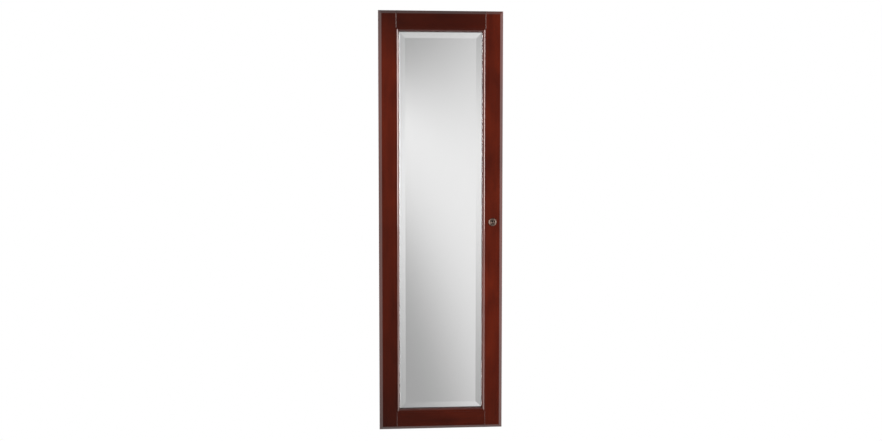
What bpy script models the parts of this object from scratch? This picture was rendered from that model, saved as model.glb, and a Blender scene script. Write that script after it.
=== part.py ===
"""A wall-hung jewelry armoire: a shallow cherry cabinet behind a framed, bevelled mirror door with a cam lock.

Metres, +Z up. The wall is the plane y = 0 and the front faces -Y. The origin is the middle of the hanging
rail's back face, against the wall, midway between the two keyhole hangers.
"""

import math

import bmesh
import bpy
from mathutils import Matrix, Vector

# Door
DOOR_W = 0.362
DOOR_H = 1.220
FRAME_W = 0.061  # stile and rail, outer edge to the sight edge
OUTER_MOULD_W = 0.0095  # routed edge round the outside of the door: a slope with a rounded arris
OUTER_SLOPE = math.radians(40)
OUTER_ARRIS_R = 0.0035
INNER_MOULD_W = 0.010  # sticking round the mirror
INNER_MOULD_D = 0.009
MOULD_STEP = 0.001  # square step where either moulding leaves the face
LIP_T = 0.012  # front face to the back of the lip that holds the mirror
REBATE_D = 0.010  # behind the lip, for the mirror and its backing
REBATE_W = 0.006
ARC_STEPS = 6

# Mirror
GLASS_T = 0.004
GLASS_OVERLAP = 0.005  # how far the glass reaches behind the lip
BEVEL_W = 0.023
BEVEL_D = 0.0008
BACKING_T = 0.005

# Cabinet
BODY_D = 0.073
OVERHANG = 0.009  # door past the cabinet on all four sides
DOOR_GAP = 0.002  # cabinet front to the door's back
PANEL_T = 0.012
RAIL_T = 0.012
RAIL_H = 0.060
BACK_T = 0.003
GROOVE_D = 0.004
GROOVE_SLACK = 0.0005
BACK_LINING_T = 0.002
SIDE_LINING_T = 0.0015
SIDE_LINING_SETBACK = 0.013  # bare wood left at the cabinet's front edge
FIT = 0.0003  # gap between pieces that touch

# Interior fittings. A drop is measured from the cabinet's ceiling, and a rise from its floor.
SHELF_T = 0.008
SHELF_SETBACK = 0.006
TOP_SHELF_DROP = 0.100
LOW_SHELF_RISE = 0.124  # floor to the lowest shelf's top, and on to the next one's
GUARD_R = 0.002
GUARD_ABOVE = 0.018
GUARD_SETBACK = 0.009
RING_TRAY_DROP = 0.177
RING_TRAY_T = 0.014
RING_TRAY_WALL = 0.006
RING_TRAY_FLOOR = 0.004
RING_ROLLS = 5
ROLL_PITCH = 0.020
ROLL_D = 0.013
ROLL_ROUND = 0.007
EARRING_BARS = 3
EARRING_DROP = 0.271
EARRING_PITCH = 0.044
EARRING_BAR_H = 0.016
EARRING_BAR_T = 0.005
EARRING_BAR_STANDOFF = 0.016
EARRING_NOTCHES = 14
NOTCH_W = 0.0024
NOTCH_D = 0.005
NECKLACE_RAIL_DROP = 0.411
NECKLACE_RAIL_H = 0.024
NECKLACE_RAIL_T = 0.012
HOOKS = 7
HOOK_INSET = 0.032  # the end hooks, from the rail's ends
HOOK_WIRE_R = 0.0014
HOOK_REACH = 0.006
HOOK_SHOULDER_R = 0.004
HOOK_THROAT_R = 0.0055
HOOK_TIP = 0.004
HOOK_ROSE_R = 0.0045
HOOK_ROSE_T = 0.0018
BRACELET_ROD_RISE = 0.334
BRACELET_ROD_R = 0.006
ROD_SOCKET_D = 0.004
ROD_SLACK = 0.0003

# Hinges
HINGE_INSET = 0.121  # the end hinges' middles, from the cabinet's ends
HINGE_H = 0.050
BARREL_R = 0.003
PIN_R = 0.0014
PIN_SLACK = 0.0002
LEAF_T = 0.0012
LEAF_W = 0.022
KNUCKLE_GAP = 0.0004
PIN_HEAD_R = 0.0028
PIN_HEAD_H = 0.0022
BARREL_SIDES = 16

# Lock
LOCK_INSET = 0.0095  # lock axis to the inner face of the cabinet's side
FLANGE_R = 0.0115
FLANGE_T = 0.0025
BARREL_LOCK_R = 0.007
BARREL_BEHIND = 0.0075
LOCK_BORE_R = 0.0056
PLUG_R = 0.0054
PLUG_SETBACK = 0.0008
KEYWAY_W = 0.0020
KEYWAY_H = 0.0070
KEYWAY_D = 0.010
TAIL_R = 0.0034
TAIL_SLACK = 0.0002
NUT_AF = 0.017
NUT_T = 0.0035
CAM_T = 0.0025
CAM_W = 0.012
CAM_BITE = 0.007  # how far the turned cam goes into the side
CAM_END_SLACK = 0.0015
CAM_SCREW_R = 0.0038
CAM_SCREW_T = 0.0022
LOCK_SIDES = 32
STRIKE_T = 0.0012
STRIKE_W = 0.011
STRIKE_H = 0.044
STRIKE_SETBACK = 0.0008
SLOT_SLACK = 0.0010

# Catch
CATCH_INSET = 0.060
CATCH_SIZE = Vector((0.036, 0.014, 0.011))
CATCH_PLATE = Vector((0.030, 0.001, 0.012))
CATCH_CLEAR = 0.0004

# Keyhole hangers
HANGER_INSET = 0.050
HANGER_W = 0.020
HANGER_H = 0.048
HANGER_T = 0.0015
KEYHOLE_R = 0.0048
KEYHOLE_DROP = 0.006
KEYHOLE_SLOT_W = 0.0046
KEYHOLE_RISE = 0.010
SCREW_HOLE_R = 0.002
SCREW_HOLE_Z = 0.0195
POCKET_W = 0.013
POCKET_H = 0.028
POCKET_D = 0.0075

# Worked out from the sizes above
DOOR_T = LIP_T + REBATE_D
ARRIS_W = OUTER_ARRIS_R * (1 - math.sin(OUTER_SLOPE))
SLOPE_RISE = (OUTER_MOULD_W - ARRIS_W) * math.tan(OUTER_SLOPE)
OUTER_MOULD_D = MOULD_STEP + SLOPE_RISE + OUTER_ARRIS_R * math.cos(OUTER_SLOPE)
BODY_W = DOOR_W - 2 * OVERHANG
BODY_H = DOOR_H - 2 * OVERHANG
INSIDE_W = BODY_W - 2 * PANEL_T
INSIDE_H = BODY_H - 2 * PANEL_T
MID_Z = -(INSIDE_H - RAIL_H) / 2
CEILING_Z = MID_Z + INSIDE_H / 2
FLOOR_Z = MID_Z - INSIDE_H / 2
FRONT_Y = -BODY_D
DOOR_BACK_Y = FRONT_Y - DOOR_GAP
DOOR_FRONT_Y = DOOR_BACK_Y - DOOR_T
BACK_PANEL_Y = -RAIL_T - FIT
BACK_LINING_Y = BACK_PANEL_Y - BACK_T - FIT
LINED_BACK_Y = BACK_LINING_Y - BACK_LINING_T
SIDE_LINING_FRONT_Y = FRONT_Y + SIDE_LINING_SETBACK
LINED_HALF_W = INSIDE_W / 2 - FIT - SIDE_LINING_T
FITTING_HALF_W = LINED_HALF_W - FIT
HINGE_X = -BODY_W / 2 - FIT - BARREL_R
HINGE_Y = DOOR_BACK_Y + FIT + BARREL_R
HINGE_ZS = [MID_Z + way * (BODY_H / 2 - HINGE_INSET) for way in (1, 0, -1)]
SHELF_TOPS = (CEILING_Z - TOP_SHELF_DROP, FLOOR_Z + 2 * LOW_SHELF_RISE, FLOOR_Z + LOW_SHELF_RISE)
BRACELET_ROD_Y = (LINED_BACK_Y + SIDE_LINING_FRONT_Y) / 2
LOCK_X = INSIDE_W / 2 - LOCK_INSET
CAM_REACH = LOCK_INSET + CAM_BITE
NECKLACE_FACE_Y = LINED_BACK_Y - FIT - NECKLACE_RAIL_T
BARREL_END_Y = DOOR_BACK_Y + BARREL_BEHIND
CAM_FRONT_Y = BARREL_END_Y + 2 * FIT
TAIL_END_Y = CAM_FRONT_Y + CAM_T + FIT


def empty_scene():
    """Removes whatever the scene starts with."""
    for found in list(bpy.data.objects):
        bpy.data.objects.remove(found)


def material(name, color, roughness, metallic=0.0):
    """A Principled BSDF material of one colour."""
    made = bpy.data.materials.new(name)
    made.use_nodes = True
    shader = made.node_tree.nodes["Principled BSDF"]
    shader.inputs["Base Color"].default_value = (*color, 1.0)
    shader.inputs["Roughness"].default_value = roughness
    shader.inputs["Metallic"].default_value = metallic
    return made


def pivot(name, at, parent=None):
    """An empty that a body's pieces hang from; a moving body's empty is on its joint's axis."""
    made = bpy.data.objects.new(name, None)
    bpy.context.scene.collection.objects.link(made)
    made.location = Vector(at) - (parent.location if parent else Vector())
    made.parent = parent
    return made


def world_place(found):
    """Where an object's own origin is in the scene. No object here is turned or scaled."""
    place = Vector(found.location)
    while found.parent:
        found = found.parent
        place += found.location
    return place


def piece(name, shape, at, finish, parent):
    """One named object from a bmesh modelled round its own origin, placed at a point of the scene."""
    bmesh.ops.recalc_face_normals(shape, faces=shape.faces)
    mesh = bpy.data.meshes.new(name)
    shape.to_mesh(mesh)
    shape.free()
    made = bpy.data.objects.new(name, mesh)
    bpy.context.scene.collection.objects.link(made)
    if finish:
        mesh.materials.append(finish)
    if parent:
        made.parent = parent
        made.location = Vector(at) - world_place(parent)
    else:
        made.location = Vector(at)
    return made


def helper(name, shape, at):
    """A shape that a Boolean uses and no one sees."""
    made = piece(name, shape, at, None, None)
    made.hide_render = True
    made.display_type = "WIRE"
    return made


def boolean(target, other, operation):
    """A Boolean modifier with Blender's exact solver."""
    modifier = target.modifiers.new(f"{operation.lower()} {other.name}", "BOOLEAN")
    modifier.object = other
    modifier.operation = operation
    modifier.solver = "EXACT"


def cut(target, name, shape, at):
    """Takes a shape out of a piece."""
    boolean(target, helper(name, shape, at), "DIFFERENCE")


def add(target, name, shape, at):
    """Joins a shape to a piece."""
    boolean(target, helper(name, shape, at), "UNION")


def smooth(made, angle=35.0):
    """Shades a round piece smooth, with its sharp edges kept."""
    made.data.shade_smooth()
    made.data.set_sharp_from_angle(angle=math.radians(angle))
    return made


def box_shape(size):
    """A box centred on the origin."""
    shape = bmesh.new()
    bmesh.ops.create_cube(shape, size=1.0, matrix=Matrix.Diagonal((*size, 1.0)))
    return shape


def prism_shape(outline, axis, length):
    """An outline of (first, second) coordinates across an axis, drawn out along it and centred on the origin.

    The outline's coordinates are (y, z) for x, (x, z) for y and (x, y) for z.
    """
    place = {
        "x": lambda a, b, c: (c, a, b),
        "y": lambda a, b, c: (a, c, b),
        "z": lambda a, b, c: (a, b, c),
    }[axis]
    shape = bmesh.new()
    near = [shape.verts.new(place(a, b, -length / 2)) for a, b in outline]
    far = [shape.verts.new(place(a, b, length / 2)) for a, b in outline]
    shape.faces.new(near)
    shape.faces.new(far)
    for i in range(len(outline)):
        j = (i + 1) % len(outline)
        shape.faces.new((near[i], near[j], far[j], far[i]))
    return shape


def turned_shape(profile, axis, sides):
    """A profile of (radius, along) points, turned about an axis. A radius of 0 is a point on the axis."""
    place = {
        "y": lambda r, h, c, s: (r * c, h, r * s),
        "z": lambda r, h, c, s: (r * c, r * s, h),
        "x": lambda r, h, c, s: (h, r * c, r * s),
    }[axis]
    shape = bmesh.new()
    rings = []
    for radius, along in profile:
        if radius == 0:
            rings.append([shape.verts.new(place(0, along, 1, 0))] * sides)
            continue
        angles = [2 * math.pi * i / sides for i in range(sides)]
        rings.append([shape.verts.new(place(radius, along, math.cos(a), math.sin(a))) for a in angles])
    closed = profile[0][0] != 0
    for k in range(len(rings) - (0 if closed else 1)):
        here, there = rings[k], rings[(k + 1) % len(rings)]
        for i in range(sides):
            j = (i + 1) % sides
            corners = dict.fromkeys((here[i], here[j], there[j], there[i]))
            shape.faces.new(list(corners))
    return shape


def cylinder_shape(radius, length, axis, sides):
    """A solid cylinder centred on the origin."""
    ends = [(0, -length / 2), (radius, -length / 2), (radius, length / 2), (0, length / 2)]
    return turned_shape(ends, axis, sides)


def tube_shape(path, radius, sides):
    """A round wire along a path in the plane x = 0, closed at both ends."""
    shape = bmesh.new()
    rings = []
    for k, point in enumerate(path):
        before, after = path[max(k - 1, 0)], path[min(k + 1, len(path) - 1)]
        along = (Vector(after) - Vector(before)).normalized()
        across = Vector((1, 0, 0))
        up = across.cross(along)
        ring = []
        for i in range(sides):
            a = 2 * math.pi * i / sides
            ring.append(shape.verts.new(Vector(point) + radius * (math.cos(a) * across + math.sin(a) * up)))
        rings.append(ring)
    for here, there in zip(rings, rings[1:]):
        for i in range(sides):
            j = (i + 1) % sides
            shape.faces.new((here[i], here[j], there[j], there[i]))
    shape.faces.new(rings[0])
    shape.faces.new(rings[-1])
    return shape


def arc(centre, radii, start, end, steps):
    """Points of an elliptical arc, in degrees, both ends included."""
    points = []
    for i in range(steps + 1):
        a = math.radians(start + (end - start) * i / steps)
        points.append((centre[0] + radii[0] * math.cos(a), centre[1] + radii[1] * math.sin(a)))
    return points


def outer_mould():
    """The routed outer edge as (from the outer edge, behind the face) points, from the side to the face.

    The arris turns out of the door's side until it meets the slope, which climbs to the step at the face.
    """
    radii = (OUTER_ARRIS_R, OUTER_ARRIS_R)
    arris = arc((OUTER_ARRIS_R, OUTER_MOULD_D), radii, 180, 270 - math.degrees(OUTER_SLOPE), ARC_STEPS)
    return arris + [(OUTER_MOULD_W, MOULD_STEP), (OUTER_MOULD_W, 0.0)]


def inner_mould(grow=0.0):
    """The sticking beside the mirror, from the face to the sight edge. grow is a joint's clearance."""
    start = FRAME_W - INNER_MOULD_W
    radii = (INNER_MOULD_W, INNER_MOULD_D - MOULD_STEP)
    curve = arc((start, INNER_MOULD_D), radii, 270, 360, ARC_STEPS)
    return [(start + grow, 0.0)] + [(u + grow, d - grow) for u, d in curve]


def frame_section():
    """A stile's or rail's section, as (from the outer edge, behind the face) points."""
    rebate = FRAME_W - REBATE_W
    back = [(FRAME_W, LIP_T), (rebate, LIP_T), (rebate, DOOR_T), (0.0, DOOR_T)]
    return outer_mould() + inner_mould() + back


def cope_section():
    """What a stile takes out of a rail's end: its own section with the joint's clearance round it."""
    outside, past = -0.010, DOOR_T + 0.010
    start = FRAME_W - INNER_MOULD_W + FIT
    sight, rebate, lip = FRAME_W + FIT, FRAME_W - REBATE_W + FIT, LIP_T + FIT
    sticking = [(u, d) for u, d in inner_mould(FIT) if d > 0]
    return [(outside, outside), (start, outside)] + sticking + [
        (sight, lip), (rebate, lip), (rebate, past), (outside, past)
    ]


def edge_cutter_section():
    """What the router takes off a stile's end, to carry the outer moulding across it."""
    outside = -0.010
    curve = outer_mould()
    return [(outside, OUTER_MOULD_D)] + curve[:-1] + [(OUTER_MOULD_W, outside), (outside, outside)]


def make_cabinet_panels(cabinet, cherry, board):
    """Sides, top, bottom, back and the two rails behind it."""
    groove_front = BACK_PANEL_Y - BACK_T - FIT
    groove_back = -RAIL_T
    sides = {}
    for name, way in (("left", -1), ("right", 1)):
        inner, outer = INSIDE_W / 2 * way, BODY_W / 2 * way
        floor = inner + GROOVE_D * way
        outline = [
            (outer, 0.0), (inner, 0.0), (inner, groove_back), (floor, groove_back),
            (floor, groove_front), (inner, groove_front), (inner, FRONT_Y), (outer, FRONT_Y),
        ]
        shape = prism_shape(outline, "z", BODY_H)
        sides[name] = piece(f"side_panel_{name}", shape, (0, 0, MID_Z), cherry, cabinet)
    for name, way in (("top", 1), ("bottom", -1)):
        inner, outer = INSIDE_H / 2 * way, BODY_H / 2 * way
        floor = inner + GROOVE_D * way
        outline = [
            (0.0, outer), (0.0, inner), (groove_back, inner), (groove_back, floor),
            (groove_front, floor), (groove_front, inner), (FRONT_Y, inner), (FRONT_Y, outer),
        ]
        shape = prism_shape(outline, "x", INSIDE_W - 2 * FIT)
        piece(f"{name}_panel", shape, (0, 0, MID_Z), cherry, cabinet)
    reach = 2 * (GROOVE_D - GROOVE_SLACK)
    size = (INSIDE_W + reach, BACK_T, INSIDE_H + reach)
    piece("back_panel", box_shape(size), (0, BACK_PANEL_Y - BACK_T / 2, MID_Z), board, cabinet)
    size = (INSIDE_W - 2 * FIT, RAIL_T, RAIL_H - FIT)
    top = piece("hanging_rail", box_shape(size), (0, -RAIL_T / 2, -FIT / 2), cherry, cabinet)
    low = 2 * MID_Z + FIT / 2
    piece("spacer_rail", box_shape(size), (0, -RAIL_T / 2, low), cherry, cabinet)
    return sides, top


def make_linings(cabinet, velvet):
    """Velvet-covered boards on the cabinet's back and sides."""
    size = (INSIDE_W - 2 * FIT, BACK_LINING_T, INSIDE_H - 2 * FIT)
    piece("back_lining", box_shape(size), (0, BACK_LINING_Y - BACK_LINING_T / 2, MID_Z), velvet, cabinet)
    rear = LINED_BACK_Y - FIT
    depth = rear - SIDE_LINING_FRONT_Y
    made = {}
    for name, way in (("left", -1), ("right", 1)):
        at = (way * (LINED_HALF_W + SIDE_LINING_T / 2), rear - depth / 2, MID_Z)
        shape = box_shape((SIDE_LINING_T, depth, INSIDE_H - 2 * FIT))
        made[name] = piece(f"side_lining_{name}", shape, at, velvet, cabinet)
    return made


def make_keyhole_hangers(cabinet, rail, steel):
    """Two steel keyhole plates let into the hanging rail, over pockets for the wall screws' heads."""
    for name, way in (("left", -1), ("right", 1)):
        x = way * (INSIDE_W / 2 - HANGER_INSET)
        shape = box_shape((HANGER_W, HANGER_T, HANGER_H))
        plate = piece(f"keyhole_hanger_{name}", shape, (x, -FIT - HANGER_T / 2, 0), steel, cabinet)
        low, high = -KEYHOLE_DROP, KEYHOLE_RISE
        neck = math.degrees(math.asin(KEYHOLE_SLOT_W / 2 / KEYHOLE_R))
        head = arc((0, low), (KEYHOLE_R, KEYHOLE_R), 90 + neck, 450 - neck, 20)
        top = arc((0, high), (KEYHOLE_SLOT_W / 2, KEYHOLE_SLOT_W / 2), 0, 180, 8)
        cut(plate, f"keyhole_{name}", prism_shape(head + top, "y", 4 * HANGER_T), (x, 0, 0))
        for label, z in (("upper", SCREW_HOLE_Z), ("lower", -SCREW_HOLE_Z)):
            hole = cylinder_shape(SCREW_HOLE_R, 4 * HANGER_T, "y", 12)
            cut(plate, f"screw_hole_{name}_{label}", hole, (x, 0, z))
        seat_depth = HANGER_T + 2 * FIT
        seat = box_shape((HANGER_W + 2 * FIT, 2 * seat_depth, HANGER_H + 2 * FIT))
        cut(rail, f"hanger_seat_{name}", seat, (x, 0, 0))
        cut(rail, f"head_pocket_{name}", box_shape((POCKET_W, 2 * POCKET_D, POCKET_H)), (x, 0, 0))


def make_shelves(cabinet, cherry, brass):
    """Three shelves, and a brass guard rod in front of each and of the cabinet's floor."""
    rear = LINED_BACK_Y - FIT
    depth = rear - (FRONT_Y + SHELF_SETBACK)
    for n, top in enumerate(SHELF_TOPS, 1):
        size = (2 * FITTING_HALF_W, depth, SHELF_T)
        at = (0, rear - depth / 2, top - SHELF_T / 2)
        piece(f"shelf_{n}", box_shape(size), at, cherry, cabinet)
    for n, top in enumerate((*SHELF_TOPS, FLOOR_Z), 1):
        rod = cylinder_shape(GUARD_R, INSIDE_W - 2 * FIT, "x", 12)
        at = (0, FRONT_Y + GUARD_SETBACK, top + GUARD_ABOVE)
        smooth(piece(f"guard_rod_{n}", rod, at, brass, cabinet))


def make_ring_tray(cabinet, cherry, plush):
    """A shallow tray on the back wall, filled with soft rolls that grip rings between them."""
    rear = LINED_BACK_Y - FIT
    inner_h = RING_ROLLS * ROLL_PITCH + 2 * FIT
    size = Vector((2 * FITTING_HALF_W, RING_TRAY_T, inner_h + 2 * RING_TRAY_WALL))
    centre = Vector((0, rear - RING_TRAY_T / 2, CEILING_Z - RING_TRAY_DROP))
    tray = piece("ring_tray", box_shape(size), centre, cherry, cabinet)
    floor_y = rear - RING_TRAY_FLOOR
    well_w = size.x - 2 * RING_TRAY_WALL
    well_d = 2 * (RING_TRAY_T - RING_TRAY_FLOOR)
    cut(tray, "ring_well", box_shape((well_w, well_d, inner_h)), (0, floor_y - well_d / 2, centre.z))
    half = ROLL_PITCH / 2 - FIT
    flat = ROLL_D - ROLL_ROUND
    nose = arc((-flat, 0), (ROLL_ROUND, half), 90, 270, 8)
    outline = [(0.0, half)] + nose + [(0.0, -half)]
    for n in range(RING_ROLLS):
        z = centre.z + ((RING_ROLLS - 1) / 2 - n) * ROLL_PITCH
        roll = prism_shape(outline, "x", well_w - 2 * FIT)
        smooth(piece(f"ring_roll_{n + 1}", roll, (0, floor_y - FIT, z), plush, cabinet), 50)


def make_earring_bars(cabinet, cherry):
    """Slats with notches along the top edge, standing clear of the back so that earrings can hang."""
    y = LINED_BACK_Y - EARRING_BAR_STANDOFF - EARRING_BAR_T / 2
    pitch = 2 * FITTING_HALF_W / EARRING_NOTCHES
    top, low = EARRING_BAR_H / 2, -EARRING_BAR_H / 2
    edge = []
    for n in range(EARRING_NOTCHES):
        x = (n - (EARRING_NOTCHES - 1) / 2) * pitch
        left, right = x - NOTCH_W / 2, x + NOTCH_W / 2
        edge += [(left, top), (left, top - NOTCH_D), (right, top - NOTCH_D), (right, top)]
    outline = [(-FITTING_HALF_W, low), (-FITTING_HALF_W, top)] + edge
    outline += [(FITTING_HALF_W, top), (FITTING_HALF_W, low)]
    for n in range(EARRING_BARS):
        at = (0, y, CEILING_Z - EARRING_DROP - n * EARRING_PITCH)
        piece(f"earring_bar_{n + 1}", prism_shape(outline, "y", EARRING_BAR_T), at, cherry, cabinet)


def hook_path():
    """The wire's centreline from the rose: out, round the shoulder, down round the throat and up to the tip."""
    shoulder_y = -HOOK_REACH
    drop_y = shoulder_y - HOOK_SHOULDER_R
    throat_y = drop_y - HOOK_THROAT_R
    shoulder = arc((shoulder_y, -HOOK_SHOULDER_R), (HOOK_SHOULDER_R, HOOK_SHOULDER_R), 90, 180, 4)
    throat = arc((throat_y, -HOOK_SHOULDER_R), (HOOK_THROAT_R, HOOK_THROAT_R), 0, -180, 8)
    tip = (throat_y - HOOK_THROAT_R, -HOOK_SHOULDER_R + HOOK_TIP)
    flat = [(-HOOK_ROSE_T / 2, 0.0)] + shoulder + throat[1:] + [tip]
    return [(0.0, y, z) for y, z in flat]


def make_necklace_hooks(cabinet, cherry, brass):
    """A rail across the back with a row of brass hooks."""
    size = (2 * FITTING_HALF_W, NECKLACE_RAIL_T, NECKLACE_RAIL_H)
    z = CEILING_Z - NECKLACE_RAIL_DROP
    at = (0, NECKLACE_FACE_Y + NECKLACE_RAIL_T / 2, z)
    piece("necklace_rail", box_shape(size), at, cherry, cabinet)
    pitch = 2 * (FITTING_HALF_W - HOOK_INSET) / (HOOKS - 1)
    for n in range(HOOKS):
        at = Vector(((n - (HOOKS - 1) / 2) * pitch, NECKLACE_FACE_Y - FIT, z))
        hook = piece(f"necklace_hook_{n + 1}", tube_shape(hook_path(), HOOK_WIRE_R, 8), at, brass, cabinet)
        rose = turned_shape(
            [(0, 0), (HOOK_ROSE_R, 0), (HOOK_ROSE_R * 0.8, -HOOK_ROSE_T), (0, -HOOK_ROSE_T)], "y", 16
        )
        add(hook, f"hook_rose_{n + 1}", rose, at)
        smooth(hook)


def make_bracelet_rod(cabinet, sides, linings, cherry):
    """A dowel across the cabinet, let into blind holes in both sides."""
    at = Vector((0, BRACELET_ROD_Y, FLOOR_Z + BRACELET_ROD_RISE))
    reach = INSIDE_W / 2 + ROD_SOCKET_D
    rod = cylinder_shape(BRACELET_ROD_R, 2 * (reach - FIT), "x", 20)
    smooth(piece("bracelet_rod", rod, at, cherry, cabinet))
    for name in ("left", "right"):
        for target in (sides[name], linings[name]):
            hole = cylinder_shape(BRACELET_ROD_R + ROD_SLACK, 2 * reach, "x", 20)
            cut(target, f"rod_hole_{target.name}", hole, at)


def make_door_frame(door, cherry):
    """Two full-height stiles with coped rails between them, moulded inside and out and rebated at the back."""
    section = frame_section()
    stiles = {}
    for name, way in (("left", -1), ("right", 1)):
        outline = [(way * (DOOR_W / 2 - u), DOOR_FRONT_Y + d) for u, d in section]
        stile = piece(f"door_stile_{name}", prism_shape(outline, "z", DOOR_H), (0, 0, MID_Z), cherry, door)
        for label, up in (("top", 1), ("bottom", -1)):
            ends = [(DOOR_FRONT_Y + d, up * (DOOR_H / 2 - u)) for u, d in edge_cutter_section()]
            cut(stile, f"router_{name}_{label}", prism_shape(ends, "x", 2 * DOOR_W), (0, 0, MID_Z))
        stiles[name] = stile
    face_w = DOOR_W - 2 * (FRAME_W - INNER_MOULD_W)
    for name, up in (("top", 1), ("bottom", -1)):
        outline = [(DOOR_FRONT_Y + d, up * (DOOR_H / 2 - u)) for u, d in section]
        rail = piece(f"door_rail_{name}", prism_shape(outline, "x", face_w), (0, 0, MID_Z), cherry, door)
        for label, way in (("left", -1), ("right", 1)):
            ends = [(way * (DOOR_W / 2 - u), DOOR_FRONT_Y + d) for u, d in cope_section()]
            cut(rail, f"cope_{name}_{label}", prism_shape(ends, "z", 2 * DOOR_H), (0, 0, MID_Z))
    return stiles


def make_mirror(door, silver, velvet):
    """Bevelled mirror glass behind the lip, and the velvet-covered board that backs it."""
    half_w = DOOR_W / 2 - FRAME_W + GLASS_OVERLAP
    half_h = DOOR_H / 2 - FRAME_W + GLASS_OVERLAP
    rise_at_sight = BEVEL_D * GLASS_OVERLAP / BEVEL_W
    edge_y = DOOR_FRONT_Y + LIP_T + FIT + rise_at_sight
    face_y = edge_y - BEVEL_D
    rear_y = face_y + GLASS_T
    shape = bmesh.new()
    loops = []
    for inset, y in ((0, rear_y), (0, edge_y), (BEVEL_W, face_y)):
        w, h = half_w - inset, half_h - inset
        loops.append([shape.verts.new((x, y, z)) for x, z in ((-w, -h), (w, -h), (w, h), (-w, h))])
    shape.faces.new(loops[0])
    shape.faces.new(loops[-1])
    for here, there in zip(loops, loops[1:]):
        for i in range(4):
            j = (i + 1) % 4
            shape.faces.new((here[i], here[j], there[j], there[i]))
    piece("mirror_glass", shape, (0, 0, MID_Z), silver, door)
    size = (2 * half_w, BACKING_T, 2 * half_h)
    at = (0, rear_y + FIT + BACKING_T / 2, MID_Z)
    piece("mirror_backing", box_shape(size), at, velvet, door)


def knuckle_shape(height):
    """One turned knuckle with its pin hole."""
    bore = PIN_R + PIN_SLACK
    low, high = -height / 2, height / 2
    return turned_shape([(bore, low), (BARREL_R, low), (BARREL_R, high), (bore, high)], "z", BARREL_SIDES)


def make_hinges(cabinet, door, brass):
    """Three butt hinges: one leaf on the cabinet's side, one on the door's back, with the barrel between."""
    third = HINGE_H / 3
    root = BARREL_R + 2 * FIT  # where a leaf may run past the other leaf's knuckles
    for n, height in enumerate(HINGE_ZS, 1):
        axis = Vector((HINGE_X, HINGE_Y, height))
        # The cabinet leaf lies along the side panel, with the two end knuckles.
        x = HINGE_X + BARREL_R - LEAF_T / 2
        plate = box_shape((LEAF_T, LEAF_W - root, HINGE_H))
        leaf = piece(
            f"hinge_cabinet_leaf_{n}", plate, (x, HINGE_Y + (LEAF_W + root) / 2, axis.z), brass, cabinet
        )
        for label, way in (("upper", 1), ("lower", -1)):
            h = third - KNUCKLE_GAP
            centre = axis + Vector((0, 0, way * (HINGE_H - h) / 2))
            # The knuckle's wall joins the leaf by a strap that starts clear of the pin hole.
            strap = box_shape((LEAF_T, root + 0.002, h))
            add(leaf, f"cabinet_strap_{n}_{label}", strap, (x, HINGE_Y + root / 2 + 0.001, centre.z))
            add(leaf, f"cabinet_knuckle_{n}_{label}", knuckle_shape(h), centre)
        # The door leaf lies on the door's back, with the middle knuckle.
        y = HINGE_Y - BARREL_R + LEAF_T / 2
        plate = box_shape((LEAF_W - root, LEAF_T, HINGE_H))
        leaf = piece(f"hinge_door_leaf_{n}", plate, (HINGE_X + (LEAF_W + root) / 2, y, axis.z), brass, door)
        h = third - KNUCKLE_GAP
        strap = box_shape((root + 0.002, LEAF_T, h))
        add(leaf, f"door_strap_{n}", strap, (HINGE_X + root / 2 + 0.001, y, axis.z))
        add(leaf, f"door_knuckle_{n}", knuckle_shape(h), axis)
        end, tip = HINGE_H / 2 + FIT, HINGE_H / 2 + FIT + PIN_HEAD_H
        round_end = [(PIN_HEAD_R, end), (PIN_HEAD_R, (end + tip) / 2), (PIN_HEAD_R * 0.6, tip), (0, tip)]
        head = [(PIN_R, end)] + round_end
        profile = [(r, -z) for r, z in reversed(head)] + head
        smooth(piece(f"hinge_pin_{n}", turned_shape(profile, "z", BARREL_SIDES), axis, brass, cabinet))


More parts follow.
